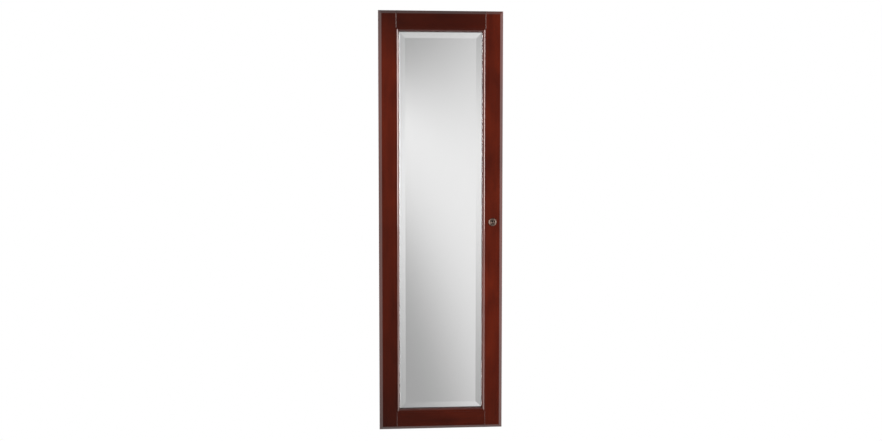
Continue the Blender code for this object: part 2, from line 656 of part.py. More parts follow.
def make_lock(door, lock, stile, side, cabinet, pewter, steel):
    """A cam lock through the right stile, and the strike that its cam turns into."""
    at = Vector((LOCK_X, 0, MID_Z))
    hole = cylinder_shape(BARREL_LOCK_R + FIT, 4 * DOOR_T, "y", LOCK_SIDES)
    cut(stile, "lock_hole", hole, at + Vector((0, DOOR_FRONT_Y, 0)))
    under = DOOR_FRONT_Y - FIT
    face = under - FLANGE_T
    rim, well = face + 0.0006, face + 0.0010
    profile = [
        (LOCK_BORE_R, BARREL_END_Y), (BARREL_LOCK_R, BARREL_END_Y), (BARREL_LOCK_R, under), (FLANGE_R, under),
        (FLANGE_R, rim), (FLANGE_R - 0.0010, face), (FLANGE_R - 0.0030, face), (FLANGE_R - 0.0038, well),
        (LOCK_BORE_R, well),
    ]
    smooth(piece("lock_housing", turned_shape(profile, "y", LOCK_SIDES), at, pewter, door))

    corner = NUT_AF / 2 / math.cos(math.pi / 6)
    hexagon = [(corner * math.sin(math.pi * i / 3), corner * math.cos(math.pi * i / 3)) for i in range(6)]
    nut_at = at + Vector((0, DOOR_BACK_Y + FIT + NUT_T / 2, 0))
    nut = piece("lock_nut", prism_shape(hexagon, "y", NUT_T), nut_at, steel, door)
    cut(nut, "nut_thread", cylinder_shape(BARREL_LOCK_R + FIT, 4 * NUT_T, "y", LOCK_SIDES), nut_at)

    front = face + PLUG_SETBACK
    shoulder = BARREL_END_Y + FIT
    profile = [(0, front), (PLUG_R, front), (PLUG_R, shoulder)]
    profile += [(TAIL_R, shoulder), (TAIL_R, TAIL_END_Y), (0, TAIL_END_Y)]
    plug = piece("lock_plug", turned_shape(profile, "y", LOCK_SIDES), at, pewter, lock)
    smooth(plug)
    cut(plug, "keyway", box_shape((KEYWAY_W, 2 * KEYWAY_D, KEYWAY_H)), at + Vector((0, front, 0)))

    half = CAM_W / 2
    shank = CAM_REACH - half
    outline = arc((0, 0), (half, half), 0, 180, 10) + arc((0, -shank), (half, half), 180, 360, 10)
    cam_y = CAM_FRONT_Y + CAM_T / 2
    cam = piece("lock_cam", prism_shape(outline, "y", CAM_T), at + Vector((0, cam_y, 0)), steel, lock)
    cut(cam, "cam_eye", cylinder_shape(TAIL_R + TAIL_SLACK, 4 * CAM_T, "y", 24), at + Vector((0, cam_y, 0)))
    screw_y = TAIL_END_Y + FIT
    profile = [
        (0, screw_y), (CAM_SCREW_R, screw_y), (CAM_SCREW_R, screw_y + CAM_SCREW_T * 0.6),
        (CAM_SCREW_R * 0.7, screw_y + CAM_SCREW_T), (0, screw_y + CAM_SCREW_T),
    ]
    smooth(piece("cam_screw", turned_shape(profile, "y", 20), at, steel, lock))

    # Strike plate let into the right side panel, and the mortise behind its slot. The slot starts
    # where the cam's tip comes through the side's inner face on its way up.
    inner = INSIDE_W / 2
    drop = math.sqrt(CAM_REACH**2 - LOCK_INSET**2) + CAM_END_SLACK
    rise = half + CAM_END_SLACK
    slot_z = (rise - drop) / 2
    slot_w = CAM_T + 2 * SLOT_SLACK
    plate_y = FRONT_Y + STRIKE_SETBACK + STRIKE_W / 2
    plate_at = Vector((inner + STRIKE_T / 2, plate_y, at.z + slot_z))
    plate = piece("strike_plate", box_shape((STRIKE_T, STRIKE_W, STRIKE_H)), plate_at, steel, cabinet)
    slot_at = Vector((inner, cam_y, at.z + slot_z))
    cut(plate, "strike_slot", box_shape((4 * STRIKE_T, slot_w, rise + drop)), slot_at)
    seat = box_shape((2 * (STRIKE_T + FIT), STRIKE_W + 2 * FIT, STRIKE_H + 2 * FIT))
    cut(side, "strike_seat", seat, (inner, plate_y, plate_at.z))
    cut(side, "strike_mortise", box_shape((2 * (CAM_BITE + CAM_END_SLACK), slot_w, rise + drop)), slot_at)


def make_catch(cabinet, door, plastic, steel):
    """A magnetic catch under the top panel and its steel plate on the door's back."""
    plate_back = DOOR_BACK_Y + FIT + CATCH_PLATE.y
    face = plate_back + CATCH_CLEAR
    x, z = INSIDE_W / 2 - CATCH_INSET, CEILING_Z - FIT - CATCH_SIZE.z / 2
    piece("magnet_catch", box_shape(CATCH_SIZE), (x, face + CATCH_SIZE.y / 2, z), plastic, cabinet)
    at = (x, DOOR_BACK_Y + FIT + CATCH_PLATE.y / 2, z)
    piece("catch_plate", box_shape(CATCH_PLATE), at, steel, door)


def build():
    """Makes the whole armoire: the cabinet, the door on its hinge axis and the lock on its own axis."""
    empty_scene()
    cherry = material("cherry_finish", (0.100, 0.017, 0.010), 0.28)
    board = material("back_board", (0.220, 0.130, 0.075), 0.70)
    velvet = material("black_velvet", (0.012, 0.011, 0.012), 0.95)
    plush = material("ring_plush", (0.016, 0.014, 0.015), 0.95)
    silver = material("mirror_silver", (0.90, 0.91, 0.91), 0.02, 1.0)
    brass = material("aged_brass", (0.420, 0.300, 0.160), 0.35, 1.0)
    pewter = material("lock_pewter", (0.180, 0.150, 0.125), 0.38, 1.0)
    steel = material("zinc_steel", (0.560, 0.560, 0.550), 0.35, 1.0)
    plastic = material("catch_plastic", (0.060, 0.030, 0.018), 0.50)

    cabinet = pivot("cabinet", (0, 0, 0))
    door = pivot("door", (HINGE_X, HINGE_Y, MID_Z), cabinet)
    lock = pivot("lock", (0, 0, 0))
    lock.parent = door
    lock.location = Vector((LOCK_X, DOOR_FRONT_Y, MID_Z)) - world_place(door)

    sides, rail = make_cabinet_panels(cabinet, cherry, board)
    linings = make_linings(cabinet, velvet)
    make_keyhole_hangers(cabinet, rail, steel)
    make_shelves(cabinet, cherry, brass)
    make_ring_tray(cabinet, cherry, plush)
    make_earring_bars(cabinet, cherry)
    make_necklace_hooks(cabinet, cherry, brass)
    make_bracelet_rod(cabinet, sides, linings, cherry)
    stiles = make_door_frame(door, cherry)
    make_mirror(door, silver, velvet)
    make_hinges(cabinet, door, brass)
    make_lock(door, lock, stiles["right"], sides["right"], cabinet, pewter, steel)
    make_catch(cabinet, door, plastic, steel)


build()
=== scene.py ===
"""A wall-hung jewelry armoire in red-brown cherry, with a bevelled mirror door.

Metres, +Z up, the wall at y = 0 and the door facing -Y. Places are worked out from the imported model's boxes.
"""

import math

import bmesh
import bpy
import numpy as np
from mathutils import Matrix, Vector


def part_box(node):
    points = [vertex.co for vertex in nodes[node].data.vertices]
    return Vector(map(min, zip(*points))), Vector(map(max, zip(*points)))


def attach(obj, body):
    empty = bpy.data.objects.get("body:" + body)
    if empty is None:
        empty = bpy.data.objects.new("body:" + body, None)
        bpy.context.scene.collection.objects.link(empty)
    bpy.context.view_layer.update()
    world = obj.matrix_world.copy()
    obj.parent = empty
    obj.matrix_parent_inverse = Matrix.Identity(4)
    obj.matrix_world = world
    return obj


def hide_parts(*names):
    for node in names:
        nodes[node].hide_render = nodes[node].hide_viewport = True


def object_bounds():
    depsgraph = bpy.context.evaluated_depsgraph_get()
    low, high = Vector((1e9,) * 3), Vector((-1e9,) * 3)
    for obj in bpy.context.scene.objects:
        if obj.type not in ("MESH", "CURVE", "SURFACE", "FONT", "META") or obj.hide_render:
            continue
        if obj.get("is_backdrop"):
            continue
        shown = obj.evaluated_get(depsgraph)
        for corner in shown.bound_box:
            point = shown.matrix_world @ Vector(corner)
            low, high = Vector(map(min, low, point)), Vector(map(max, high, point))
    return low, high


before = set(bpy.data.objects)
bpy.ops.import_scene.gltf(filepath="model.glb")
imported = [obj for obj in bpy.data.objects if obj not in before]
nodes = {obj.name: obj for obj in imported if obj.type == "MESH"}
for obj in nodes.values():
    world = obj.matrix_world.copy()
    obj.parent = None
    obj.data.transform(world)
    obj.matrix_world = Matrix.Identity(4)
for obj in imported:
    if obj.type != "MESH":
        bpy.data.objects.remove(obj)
cad_low, cad_high = (Vector(corner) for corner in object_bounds())
middle = (cad_low + cad_high) / 2

# ---------------------------------------------------------------- Camera
# It stands three metres off, a little to the left of the door and a little above its middle, and looks at the
# mirror's middle.
CAMERA_DISTANCE = 3.0
CAMERA_TURN = math.radians(4.74)
CAMERA_RISE = math.radians(3.94)
CAMERA_LENS = 42.05
AIM_BEHIND_RING = 0.0078
AIM_ABOVE_MIDDLE = 0.0054

aim = Vector((middle.x, cad_low.y + AIM_BEHIND_RING, middle.z + AIM_ABOVE_MIDDLE))
towards_camera = Vector((
    -math.sin(CAMERA_TURN) * math.cos(CAMERA_RISE),
    -math.cos(CAMERA_TURN) * math.cos(CAMERA_RISE),
    math.sin(CAMERA_RISE),
))
camera = bpy.data.objects.new("camera", bpy.data.cameras.new("camera"))
camera.data.lens = CAMERA_LENS
camera.data.sensor_width = 36.0
camera.location = aim + towards_camera * CAMERA_DISTANCE
camera.rotation_euler = (-towards_camera).to_track_quat("-Z", "Y").to_euler()
bpy.context.scene.collection.objects.link(camera)
bpy.context.scene.camera = camera
bpy.context.scene.view_settings.view_transform = "Standard"

# ---------------------------------------------------------------- Studio
# A white ground all round and a dark room in front, with one soft glow that only the mirror shows. Tall
# softboxes stand to the left and the right of the camera, and there is a pale floor under the hung cabinet.
ROOM = 0.075
MIRROR_ROOM = 0.28  # the room's grey in the mirror, past the glow's edges
GROUND = 1.5
GROUND_ABOVE = 0.42  # how bright the ground is overhead and below, as a share of the sides'
GROUND_BELOW = 0.18
ROOM_EDGE = -0.80  # y of the direction where the room starts to give way to the ground
GROUND_EDGE = -0.25
GLOW_BASE = 0.385
GLOW_PEAK = 0.512
GLOW_SIDE = 0.08  # across, as a slope from straight ahead
GLOW_HEIGHT = -0.008
GLOW_LEAN = -0.75
GLOW_UP = 0.099
GLOW_UP_SPREAD = 14.5
GLOW_DOWN = 0.166
GLOW_DOWN_SPREAD = 10.9
GLOW_LEFT_EDGE = (0.000, 0.040)
GLOW_RIGHT_EDGE = (0.200, 0.140)
GLOW_TOP_EDGE = (0.260, 0.130)
GLOW_BOTTOM_EDGE = (-0.450, -0.300)
FLOOR_DROP = 0.45
FLOOR_T = 0.02
FLOOR_HALF_WIDTH = 1.6
FLOOR_FRONT = 1.3
FLOOR_BEHIND = 1.1


def node_maths(tree):
    """Short ways to add nodes to a tree. Each returns the socket that holds its result."""

    def connect(value, socket):
        if isinstance(value, (int, float)):
            socket.default_value = value
        else:
            tree.links.new(value, socket)

    def calc(operation, *values):
        made = tree.nodes.new("ShaderNodeMath")
        made.operation = operation
        for value, socket in zip(values, made.inputs):
            connect(value, socket)
        return made.outputs[0]

    def ramp(value, start, end):
        """0 at start and 1 at end, in between along a smooth step. start may be the higher one."""
        made = tree.nodes.new("ShaderNodeMapRange")
        made.interpolation_type = "SMOOTHSTEP"
        connect(value, made.inputs["Value"])
        made.inputs["From Min"].default_value = min(start, end)
        made.inputs["From Max"].default_value = max(start, end)
        made.inputs["To Min"].default_value = 0.0 if start < end else 1.0
        made.inputs["To Max"].default_value = 1.0 if start < end else 0.0
        return made.outputs["Result"]

    return calc, ramp


def make_world():
    """The light from each direction (x, y, z), with across = x / -y and height = z / -y seen from the mirror.

    In front, the glow is base + peak * exp(-((height - ridge) / spread)^2). Its ridge leans down to the
    right, and its spread grows by exp(k * across) above and below it. Soft edges fade it into the room,
    and the room's grey rises to the white ground at the sides and behind. The glow is a card behind the
    camera that is lit only through the mirror's glass, so it leaves no veil on the lacquer.
    """
    world = bpy.data.worlds.new("studio")
    bpy.context.scene.world = world
    world.use_nodes = True
    tree = world.node_tree
    tree.nodes.clear()
    calc, ramp = node_maths(tree)
    direction = tree.nodes.new("ShaderNodeSeparateXYZ")
    place = tree.nodes.new("ShaderNodeTexCoord")
    tree.links.new(place.outputs["Generated"], direction.inputs[0])
    x, y, z = direction.outputs
    ahead = calc("MAXIMUM", calc("MULTIPLY", y, -1.0), 0.05)
    across, height = calc("DIVIDE", x, ahead), calc("DIVIDE", z, ahead)
    side = calc("SUBTRACT", calc("MINIMUM", calc("MAXIMUM", across, 0.0), 0.16), GLOW_SIDE)
    offset = calc("SUBTRACT", height, calc("MULTIPLY_ADD", side, GLOW_LEAN, GLOW_HEIGHT))
    up = calc("MULTIPLY", calc("EXPONENT", calc("MULTIPLY", side, GLOW_UP_SPREAD)), GLOW_UP)
    down = calc("MULTIPLY", calc("EXPONENT", calc("MULTIPLY", side, GLOW_DOWN_SPREAD)), GLOW_DOWN)
    above = calc("GREATER_THAN", offset, 0.0)
    spread = calc("ADD", calc("MULTIPLY", above, up), calc("MULTIPLY", calc("SUBTRACT", 1.0, above), down))
    fall = calc("POWER", calc("DIVIDE", calc("ABSOLUTE", offset), spread), 2.0)
    swell = calc("EXPONENT", calc("MULTIPLY", fall, -1.0))
    glow = calc("MULTIPLY_ADD", swell, GLOW_PEAK, GLOW_BASE - MIRROR_ROOM)
    for value, edge in (
        (across, GLOW_LEFT_EDGE), (across, GLOW_RIGHT_EDGE),
        (height, GLOW_TOP_EDGE), (height, GLOW_BOTTOM_EDGE),
    ):
        glow = calc("MULTIPLY", glow, ramp(value, *edge))
    glow = calc("ADD", glow, MIRROR_ROOM - ROOM)
    rays = tree.nodes.new("ShaderNodeLightPath")
    glow = calc("MULTIPLY", glow, calc("MULTIPLY", ramp(y, -0.5, -0.8), rays.outputs["Is Transmission Ray"]))
    dimmed = calc("MULTIPLY", calc("MULTIPLY_ADD", ramp(z, 0.3, 0.8), GROUND_ABOVE - 1, 1.0),
                  calc("MULTIPLY_ADD", ramp(z, -0.15, -0.6), GROUND_BELOW - 1, 1.0))
    ground = calc("MULTIPLY", calc("MULTIPLY", ramp(y, ROOM_EDGE, GROUND_EDGE), GROUND - ROOM), dimmed)
    seen = calc("ADD", calc("ADD", glow, ground), ROOM)

    room = tree.nodes.new("ShaderNodeBackground")
    room.inputs["Color"].default_value = (1.0, 1.0, 1.0, 1.0)
    tree.links.new(seen, room.inputs["Strength"])
    plain = tree.nodes.new("ShaderNodeBackground")
    plain.inputs["Color"].default_value = (1.0, 1.0, 1.0, 1.0)
    choice = tree.nodes.new("ShaderNodeMixShader")
    tree.links.new(rays.outputs["Is Camera Ray"], choice.inputs[0])
    tree.links.new(room.outputs[0], choice.inputs[1])
    tree.links.new(plain.outputs[0], choice.inputs[2])
    out = tree.nodes.new("ShaderNodeOutputWorld")
    tree.links.new(choice.outputs[0], out.inputs["Surface"])


def softbox(name, azimuth, rise, width, tall, power):
    """A tall soft light two metres off. azimuth is in degrees to the right of straight on, rise in metres."""
    light = bpy.data.lights.new(name, "AREA")
    light.shape = "RECTANGLE"
    light.size, light.size_y = width, tall
    light.energy = power
    made = bpy.data.objects.new(name, light)
    turn = math.radians(azimuth)
    made.location = aim + Vector((math.sin(turn), -math.cos(turn), 0)) * 2.0 + Vector((0, 0, rise))
    level = Vector((aim.x, aim.y, made.location.z))
    made.rotation_euler = (level - made.location).to_track_quat("-Z", "Y").to_euler()
    made.visible_camera = False
    bpy.context.scene.collection.objects.link(made)


def plain_finish(name, color, roughness, metallic=0.0):
    """A Principled BSDF to build a finish on: (material, its node tree, its shader)."""
    made = bpy.data.materials.new(name)
    made.use_nodes = True
    tree = made.node_tree
    shader = tree.nodes["Principled BSDF"]
    shader.inputs["Base Color"].default_value = (*color, 1.0)
    shader.inputs["Roughness"].default_value = roughness
    shader.inputs["Metallic"].default_value = metallic
    return made, tree, shader


def mesh_object(name, shapes, finish, sharp=30.0):
    """One object from one or more closed shapes, each (points, faces), with its normals turned outwards."""
    points, faces, count = [], [], 0
    for shape_points, shape_faces in shapes:
        points.append(np.asarray(shape_points, float).reshape(-1, 3))
        faces += [[i + count for i in face] for face in shape_faces]
        count += len(points[-1])
    mesh = bpy.data.meshes.new(name)
    mesh.from_pydata(np.concatenate(points).tolist(), [], faces)
    shape = bmesh.new()
    shape.from_mesh(mesh)
    bmesh.ops.recalc_face_normals(shape, faces=shape.faces)
    shape.to_mesh(mesh)
    shape.free()
    mesh.shade_smooth()
    mesh.set_sharp_from_angle(angle=math.radians(sharp))
    mesh.materials.append(finish)
    made = bpy.data.objects.new(name, mesh)
    bpy.context.scene.collection.objects.link(made)
    return made


make_world()
softbox("softbox_right", 50, 0.42, 0.70, 1.2, 47)
softbox("softbox_right_low", 50, -0.78, 0.70, 1.2, 18)
softbox("softbox_left", -34, 0.42, 0.70, 1.2, 50)
softbox("softbox_left_low", -34, -0.78, 0.70, 1.2, 19)

floor_finish, _, _ = plain_finish("pale_floor", (0.52, 0.515, 0.51), 0.7)
floor_x = np.array([-1, 1, 1, -1]) * FLOOR_HALF_WIDTH
floor_y = np.array([-FLOOR_FRONT, -FLOOR_FRONT, FLOOR_BEHIND, FLOOR_BEHIND])
floor_top = np.stack([floor_x, floor_y, np.full(4, cad_low.z - FLOOR_DROP)], axis=1)
floor_faces = [(0, 1, 2, 3), (4, 7, 6, 5)] + [(i, (i + 1) % 4, (i + 1) % 4 + 4, i + 4) for i in range(4)]
floor_points = np.concatenate([floor_top, floor_top - [0, 0, FLOOR_T]])
mesh_object("floor", [(floor_points, floor_faces)], floor_finish)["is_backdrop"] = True

# ---------------------------------------------------------------- Cabinet panels
# Two sides with a top and a bottom between them, in cherry: stained red-brown, then lacquered. Their
# arrises are eased with sandpaper.
PANEL_EASE = 0.0008


def noise_on(tree, scale, detail=2.0, distortion=0.0, stretch=None, vector=None):
    """Noise over the object's own space, or over vector. stretch scales x, y and z first."""
    if vector is None:
        vector = tree.nodes.new("ShaderNodeTexCoord").outputs["Object"]
    if stretch is not None:
        stretched = tree.nodes.new("ShaderNodeMapping")
        stretched.inputs["Scale"].default_value = stretch
        tree.links.new(vector, stretched.inputs["Vector"])
        vector = stretched.outputs["Vector"]
    noise = tree.nodes.new("ShaderNodeTexNoise")
    noise.inputs["Scale"].default_value = scale
    noise.inputs["Detail"].default_value = detail
    noise.inputs["Distortion"].default_value = distortion
    tree.links.new(vector, noise.inputs["Vector"])
    return noise.outputs[0]


def weighed(calc, first, first_share, second, second_share):
    """Two values, each times its share, added up."""
    return calc("ADD", calc("MULTIPLY", first, first_share), calc("MULTIPLY", second, second_share))


def tinted(tree, shader, amount, dark, light):
    """Gives a finish the colours from dark to light, by amount."""
    tint = tree.nodes.new("ShaderNodeMix")
    tint.data_type = "RGBA"
    tint.inputs["A"].default_value = (*dark, 1.0)
    tint.inputs["B"].default_value = (*light, 1.0)
    tree.links.new(amount, tint.inputs["Factor"])
    tree.links.new(tint.outputs["Result"], shader.inputs["Base Color"])


def bumped(tree, shader, height, strength, distance):
    """Roughs up a finish's surface by a height."""
    bump = tree.nodes.new("ShaderNodeBump")
    bump.inputs["Strength"].default_value = strength
    bump.inputs["Distance"].default_value = distance
    tree.links.new(height, bump.inputs["Height"])
    tree.links.new(bump.outputs["Normal"], shader.inputs["Normal"])


def wood_finish(name, along, shift, tone_and_shade=(1.0, 1.0)):
    """Red-brown stain under clear lacquer.

    Soft blotches where the stain took unevenly, a wavy figure, fine streaks and small pores, all drawn
    out along the grain. along is the grain's axis and shift moves the pattern. The last argument lists how
    light the board is, in even steps along the grain: partly the wood's own colour and partly painted
    light and shade, where a board is darker or lighter along its length as the light falls on it.
    """
    made, tree, shader = plain_finish(name, (0.08, 0.008, 0.003), 0.42)
    calc, ramp = node_maths(tree)
    place = tree.nodes.new("ShaderNodeTexCoord")
    turn = tree.nodes.new("ShaderNodeMapping")
    turn.inputs["Location"].default_value = shift
    turn.inputs["Rotation"].default_value = {
        "x": (0, math.pi / 2, 0), "y": (math.pi / 2, 0, 0), "z": (0, 0, 0)
    }[along]
    tree.links.new(place.outputs["Object"], turn.inputs["Vector"])

    def pattern(across, length, detail, distortion=0.0):
        """Noise with that many cells a metre across the grain and along it."""
        return noise_on(tree, 1.0, detail, distortion, (across, across, length), turn.outputs["Vector"])

    blotch = pattern(22.0, 8.0, 2.0, 0.4)
    figure = pattern(75.0, 4.0, 3.0, 0.8)
    streak = pattern(520.0, 11.0, 3.0)
    pores = pattern(1700.0, 90.0, 1.0)
    stain = tree.nodes.new("ShaderNodeValToRGB")
    ends = stain.color_ramp.elements
    ends[0].position, ends[0].color = 0.28, (0.0235, 0.0020, 0.0006, 1.0)
    ends[1].position, ends[1].color = 0.74, (0.0530, 0.0053, 0.0014, 1.0)
    tree.links.new(weighed(calc, blotch, 0.7, figure, 0.3), stain.inputs["Fac"])
    darker = weighed(calc, ramp(streak, 0.5, 0.75), 0.16, ramp(pores, 0.6, 0.75), 0.2)
    split = tree.nodes.new("ShaderNodeSeparateXYZ")
    tree.links.new(place.outputs["Object"], split.inputs[0])
    k = "xyz".index(along)
    # The board's lightness along the grain: partly its own colour, partly painted light and shade.
    board = tree.nodes.new("ShaderNodeValToRGB")
    stops = board.color_ramp.elements
    for place_on in np.linspace(0, 1, len(tone_and_shade))[1:-1]:
        stops.new(place_on)
    for stop, light in zip(stops, tone_and_shade):
        stop.color = (light, light, light, 1.0)
    from_end = calc("SUBTRACT", split.outputs[k], cad_low[k])
    tree.links.new(calc("DIVIDE", from_end, cad_high[k] - cad_low[k]), board.inputs["Fac"])
    toned_and_shaded = tree.nodes.new("ShaderNodeVectorMath")
    toned_and_shaded.operation = "SCALE"
    tree.links.new(stain.outputs["Color"], toned_and_shaded.inputs[0])
    level = calc("MULTIPLY", calc("SUBTRACT", 1.0, darker), board.outputs["Color"])
    tree.links.new(level, toned_and_shaded.inputs["Scale"])
    tree.links.new(toned_and_shaded.outputs[0], shader.inputs["Base Color"])
    tree.links.new(calc("MULTIPLY_ADD", streak, 0.14, 0.24), shader.inputs["Roughness"])
    bumped(tree, shader, calc("SUBTRACT", calc("MULTIPLY", streak, -0.5), pores), 0.15, 0.0003)
    shader.inputs["Specular IOR Level"].default_value = 0.24
    shader.inputs["Specular Tint"].default_value = (1.0, 0.32, 0.22, 1.0)
    shader.inputs["Coat Weight"].default_value = 1.0
    shader.inputs["Coat Roughness"].default_value = 0.09
    shader.inputs["Coat IOR"].default_value = 1.50
    return made


def dress(name, finish, ease):
    """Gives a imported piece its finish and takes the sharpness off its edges."""
    node = nodes[name]
    node.data.materials.clear()
    node.data.materials.append(finish)
    node.modifiers.new("join_corners", "WELD").merge_threshold = 1e-5
    eased = node.modifiers.new("ease_edges", "BEVEL")
    eased.width = ease
    eased.segments = 2
    eased.limit_method = "ANGLE"
    eased.angle_limit = math.radians(30)
    return node


for name, along, shift in (
    ("side_panel_left", "z", (0.9, 0.2, 0.0)), ("side_panel_right", "z", (0.1, 0.7, 0.5)),
    ("top_panel", "x", (0.3, 0.3, 0.8)), ("bottom_panel", "x", (0.6, 0.9, 0.2)),
):
    dress(name, wood_finish(f"cherry_{name}", along, shift), PANEL_EASE)

# ---------------------------------------------------------------- Back panel and rails
# A thin hardboard back in grooves in the panels. Behind it, a hanging rail and a spacer rail are glued
# between the sides.


def board_finish(name, dark, light):
    """Pressed board: short fibres, matt."""
    made, tree, shader = plain_finish(name, light, 0.78)
    calc, ramp = node_maths(tree)
    fibres = [noise_on(tree, 1.0, stretch=stretch) for stretch in ((900, 900, 160), (160, 900, 900))]
    mixed = weighed(calc, calc("MAXIMUM", *fibres), 0.88, noise_on(tree, 14.0), 0.12)
    tinted(tree, shader, ramp(mixed, 0.35, 0.65), dark, light)
    bumped(tree, shader, mixed, 0.3, 0.0002)
    return made


dress("back_panel", board_finish("hardboard", (0.105, 0.052, 0.026), (0.210, 0.118, 0.062)), 0.0003)
dress("hanging_rail", wood_finish("cherry_hanging_rail", "x", (0.2, 0.1, 0.6)), PANEL_EASE)
dress("spacer_rail", wood_finish("cherry_spacer_rail", "x", (0.5, 0.6, 0.3)), PANEL_EASE)

# ---------------------------------------------------------------- Keyhole hangers
# Two stamped steel plates, zinc plated, each let into the hanging rail and held by two small countersunk
# screws.
HANGER_SCREW_R = 0.0019
HANGER_SCREW_Z = 0.0195


def metal_finish(name, color, worn, roughness, grain=(260.0, 260.0, 260.0)):
    """Plated metal: cloudy patches between two colours, fine scratches drawn out by the grain's scales."""
    made, tree, shader = plain_finish(name, color, roughness, 1.0)
    calc, ramp = node_maths(tree)
    tinted(tree, shader, ramp(noise_on(tree, 190.0, 4.0), 0.35, 0.60), worn, color)
    scratches = noise_on(tree, 8.0, 3.0, stretch=grain)
    tree.links.new(calc("MULTIPLY_ADD", scratches, 0.22, roughness - 0.11), shader.inputs["Roughness"])
    bumped(tree, shader, scratches, 0.12, 0.0001)
    return made


def placed(points, centre, out, turn=0.0):
    """Points made round +Z, spun by turn, with +Z then pointed along out and their origin moved to centre."""
    aimed = Vector(out).to_track_quat("Z", "Y").to_matrix() @ Matrix.Rotation(turn, 3, "Z")
    return np.asarray(points) @ np.array(aimed).T + np.array(centre)


def loft_shape(loops, wrap=False):
    """Closed loops of equal count, joined in order, as (points, faces).

    loops is an array [loop, point, xyz]. A pole closes each end, or with wrap the last loop joins the first.
    """
    loops = np.asarray(loops, float)
    m, n = loops.shape[:2]
    index = np.arange(m * n).reshape(m, n)
    after = np.roll(index, -1, axis=1)
    if wrap:
        walls = np.stack([index, after, np.roll(after, -1, axis=0), np.roll(index, -1, axis=0)], axis=2)
        return loops.reshape(-1, 3), walls.reshape(-1, 4).tolist()
    walls = np.stack([index[:-1], after[:-1], after[1:], index[1:]], axis=2).reshape(-1, 4)
    first = np.stack([after[0], index[0], np.full(n, m * n)], axis=1)
    last = np.stack([index[-1], after[-1], np.full(n, m * n + 1)], axis=1)
    points = np.concatenate([loops.reshape(-1, 3), loops[[0, -1]].mean(axis=1)])
    return points, walls.tolist() + first.tolist() + last.tolist()


def turned_shape(profile, centre, out, sectors=48, turn=0.0, wrap=False):
    """A lathe shape from (radius, height) pairs. A radius may be an array with one value for each sector."""
    angle = np.arange(sectors) * 2 * np.pi / sectors
    loops = [
        np.stack([r * np.cos(angle), r * np.sin(angle), np.full(sectors, float(h))], axis=1)
        for r, h in profile
    ]
    points, faces = loft_shape(loops, wrap)
    return placed(points, centre, out, turn), faces


def cross_outline(half_width, reach, sectors=48):
    """A cross-shaped recess as radii: the further of two bars, each the nearer of its side and its end."""
    angle = (np.arange(sectors) + 0.5) * 2 * np.pi / sectors
    c, s = np.abs(np.cos(angle)), np.abs(np.sin(angle))
    return np.maximum(np.minimum(reach / c, half_width / s), np.minimum(half_width / c, reach / s))


def screw_shape(centre, out, radius, turn, crown=0.0002, sunk=0.0011):
    """A countersunk screw's head with a cross recess. centre is on the surface that it is let into."""
    arms = cross_outline(0.17 * radius, 0.62 * radius)
    profile = [
        (0.45 * radius, -sunk), (radius, 0.0), (0.93 * radius, crown * 0.6), (0.78 * radius, crown),
        (arms, crown), (arms * 0.86, crown - 0.25 * radius), (arms * 0.35, crown - 0.42 * radius),
    ]
    return turned_shape(profile, centre, out, 48, turn)


zinc = metal_finish("zinc_plate", (0.58, 0.58, 0.56), (0.40, 0.40, 0.39), 0.36)
for n, side in enumerate(("left", "right")):
    plate = dress(f"keyhole_hanger_{side}", zinc, 0.0002)
    low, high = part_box(plate.name)
    screws = [
        screw_shape(((low.x + high.x) / 2, high.y - 0.0003, way * HANGER_SCREW_Z), (0, 1, 0),
                    HANGER_SCREW_R, 0.4 + n + way, 0.0001, 0.0008)
        for way in (1, -1)
    ]
    made = mesh_object(f"hanger_screws_{side}", screws, zinc)
    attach(made, "cabinet")

# ---------------------------------------------------------------- Velvet linings
# Thin boards wrapped in black velvet line the back, the sides and the back of the mirror. The pile has been
# stroked this way and that, and the patches where it leans another way are painted sheen in its colour.


def velvet_finish(name, dark, light, sheen, cells=9.0):
    """Velvet: patches of pile that lean differently, painted lighter in the base colour as painted sheen,
    broken up by single fibres.
    """
    made, tree, shader = plain_finish(name, dark, 0.95)
    calc, ramp = node_maths(tree)
    nap_and_sheen, pile = noise_on(tree, cells, 3.0, 1.4), noise_on(tree, 1900.0)
    mixed = weighed(calc, ramp(nap_and_sheen, 0.38, 0.64), 0.55, ramp(pile, 0.3, 0.7), 0.45)
    # The lighter patches are painted sheen; the single fibres are the pile's own speckle.
    tinted(tree, shader, mixed, dark, light)
    bumped(tree, shader, calc("ADD", pile, calc("MULTIPLY", nap_and_sheen, 2.0)), 0.5, 0.0004)
    shader.inputs["Specular IOR Level"].default_value = 0.15
    shader.inputs["Sheen Weight"].default_value = sheen
    shader.inputs["Sheen Roughness"].default_value = 0.35
    shader.inputs["Sheen Tint"].default_value = (0.75, 0.74, 0.78, 1.0)
    return made


velvet = velvet_finish("black_velvet", (0.0065, 0.006, 0.0065), (0.0125, 0.012, 0.013), 0.05)
for name in ("back_lining", "side_lining_left", "side_lining_right", "mirror_backing"):
    dress(name, velvet, 0.0005)

# ---------------------------------------------------------------- Shelves and guard rods
# Three cherry shelves between the linings. A drawn brass rod with a ferrule at each end keeps bottles in
# on each shelf and on the cabinet's floor.
ROD_R = 0.0020
FERRULE_R = 0.0036
FERRULE_L = 0.0034
SCREW_TURNS = (0.3, 1.1, 0.7, 0.1, 0.9, 0.5, 1.3)

for n in (1, 2, 3):
    dress(f"shelf_{n}", wood_finish(f"cherry_shelf_{n}", "x", (0.11 * n, 0.2, 0.37 * n)), 0.0010)

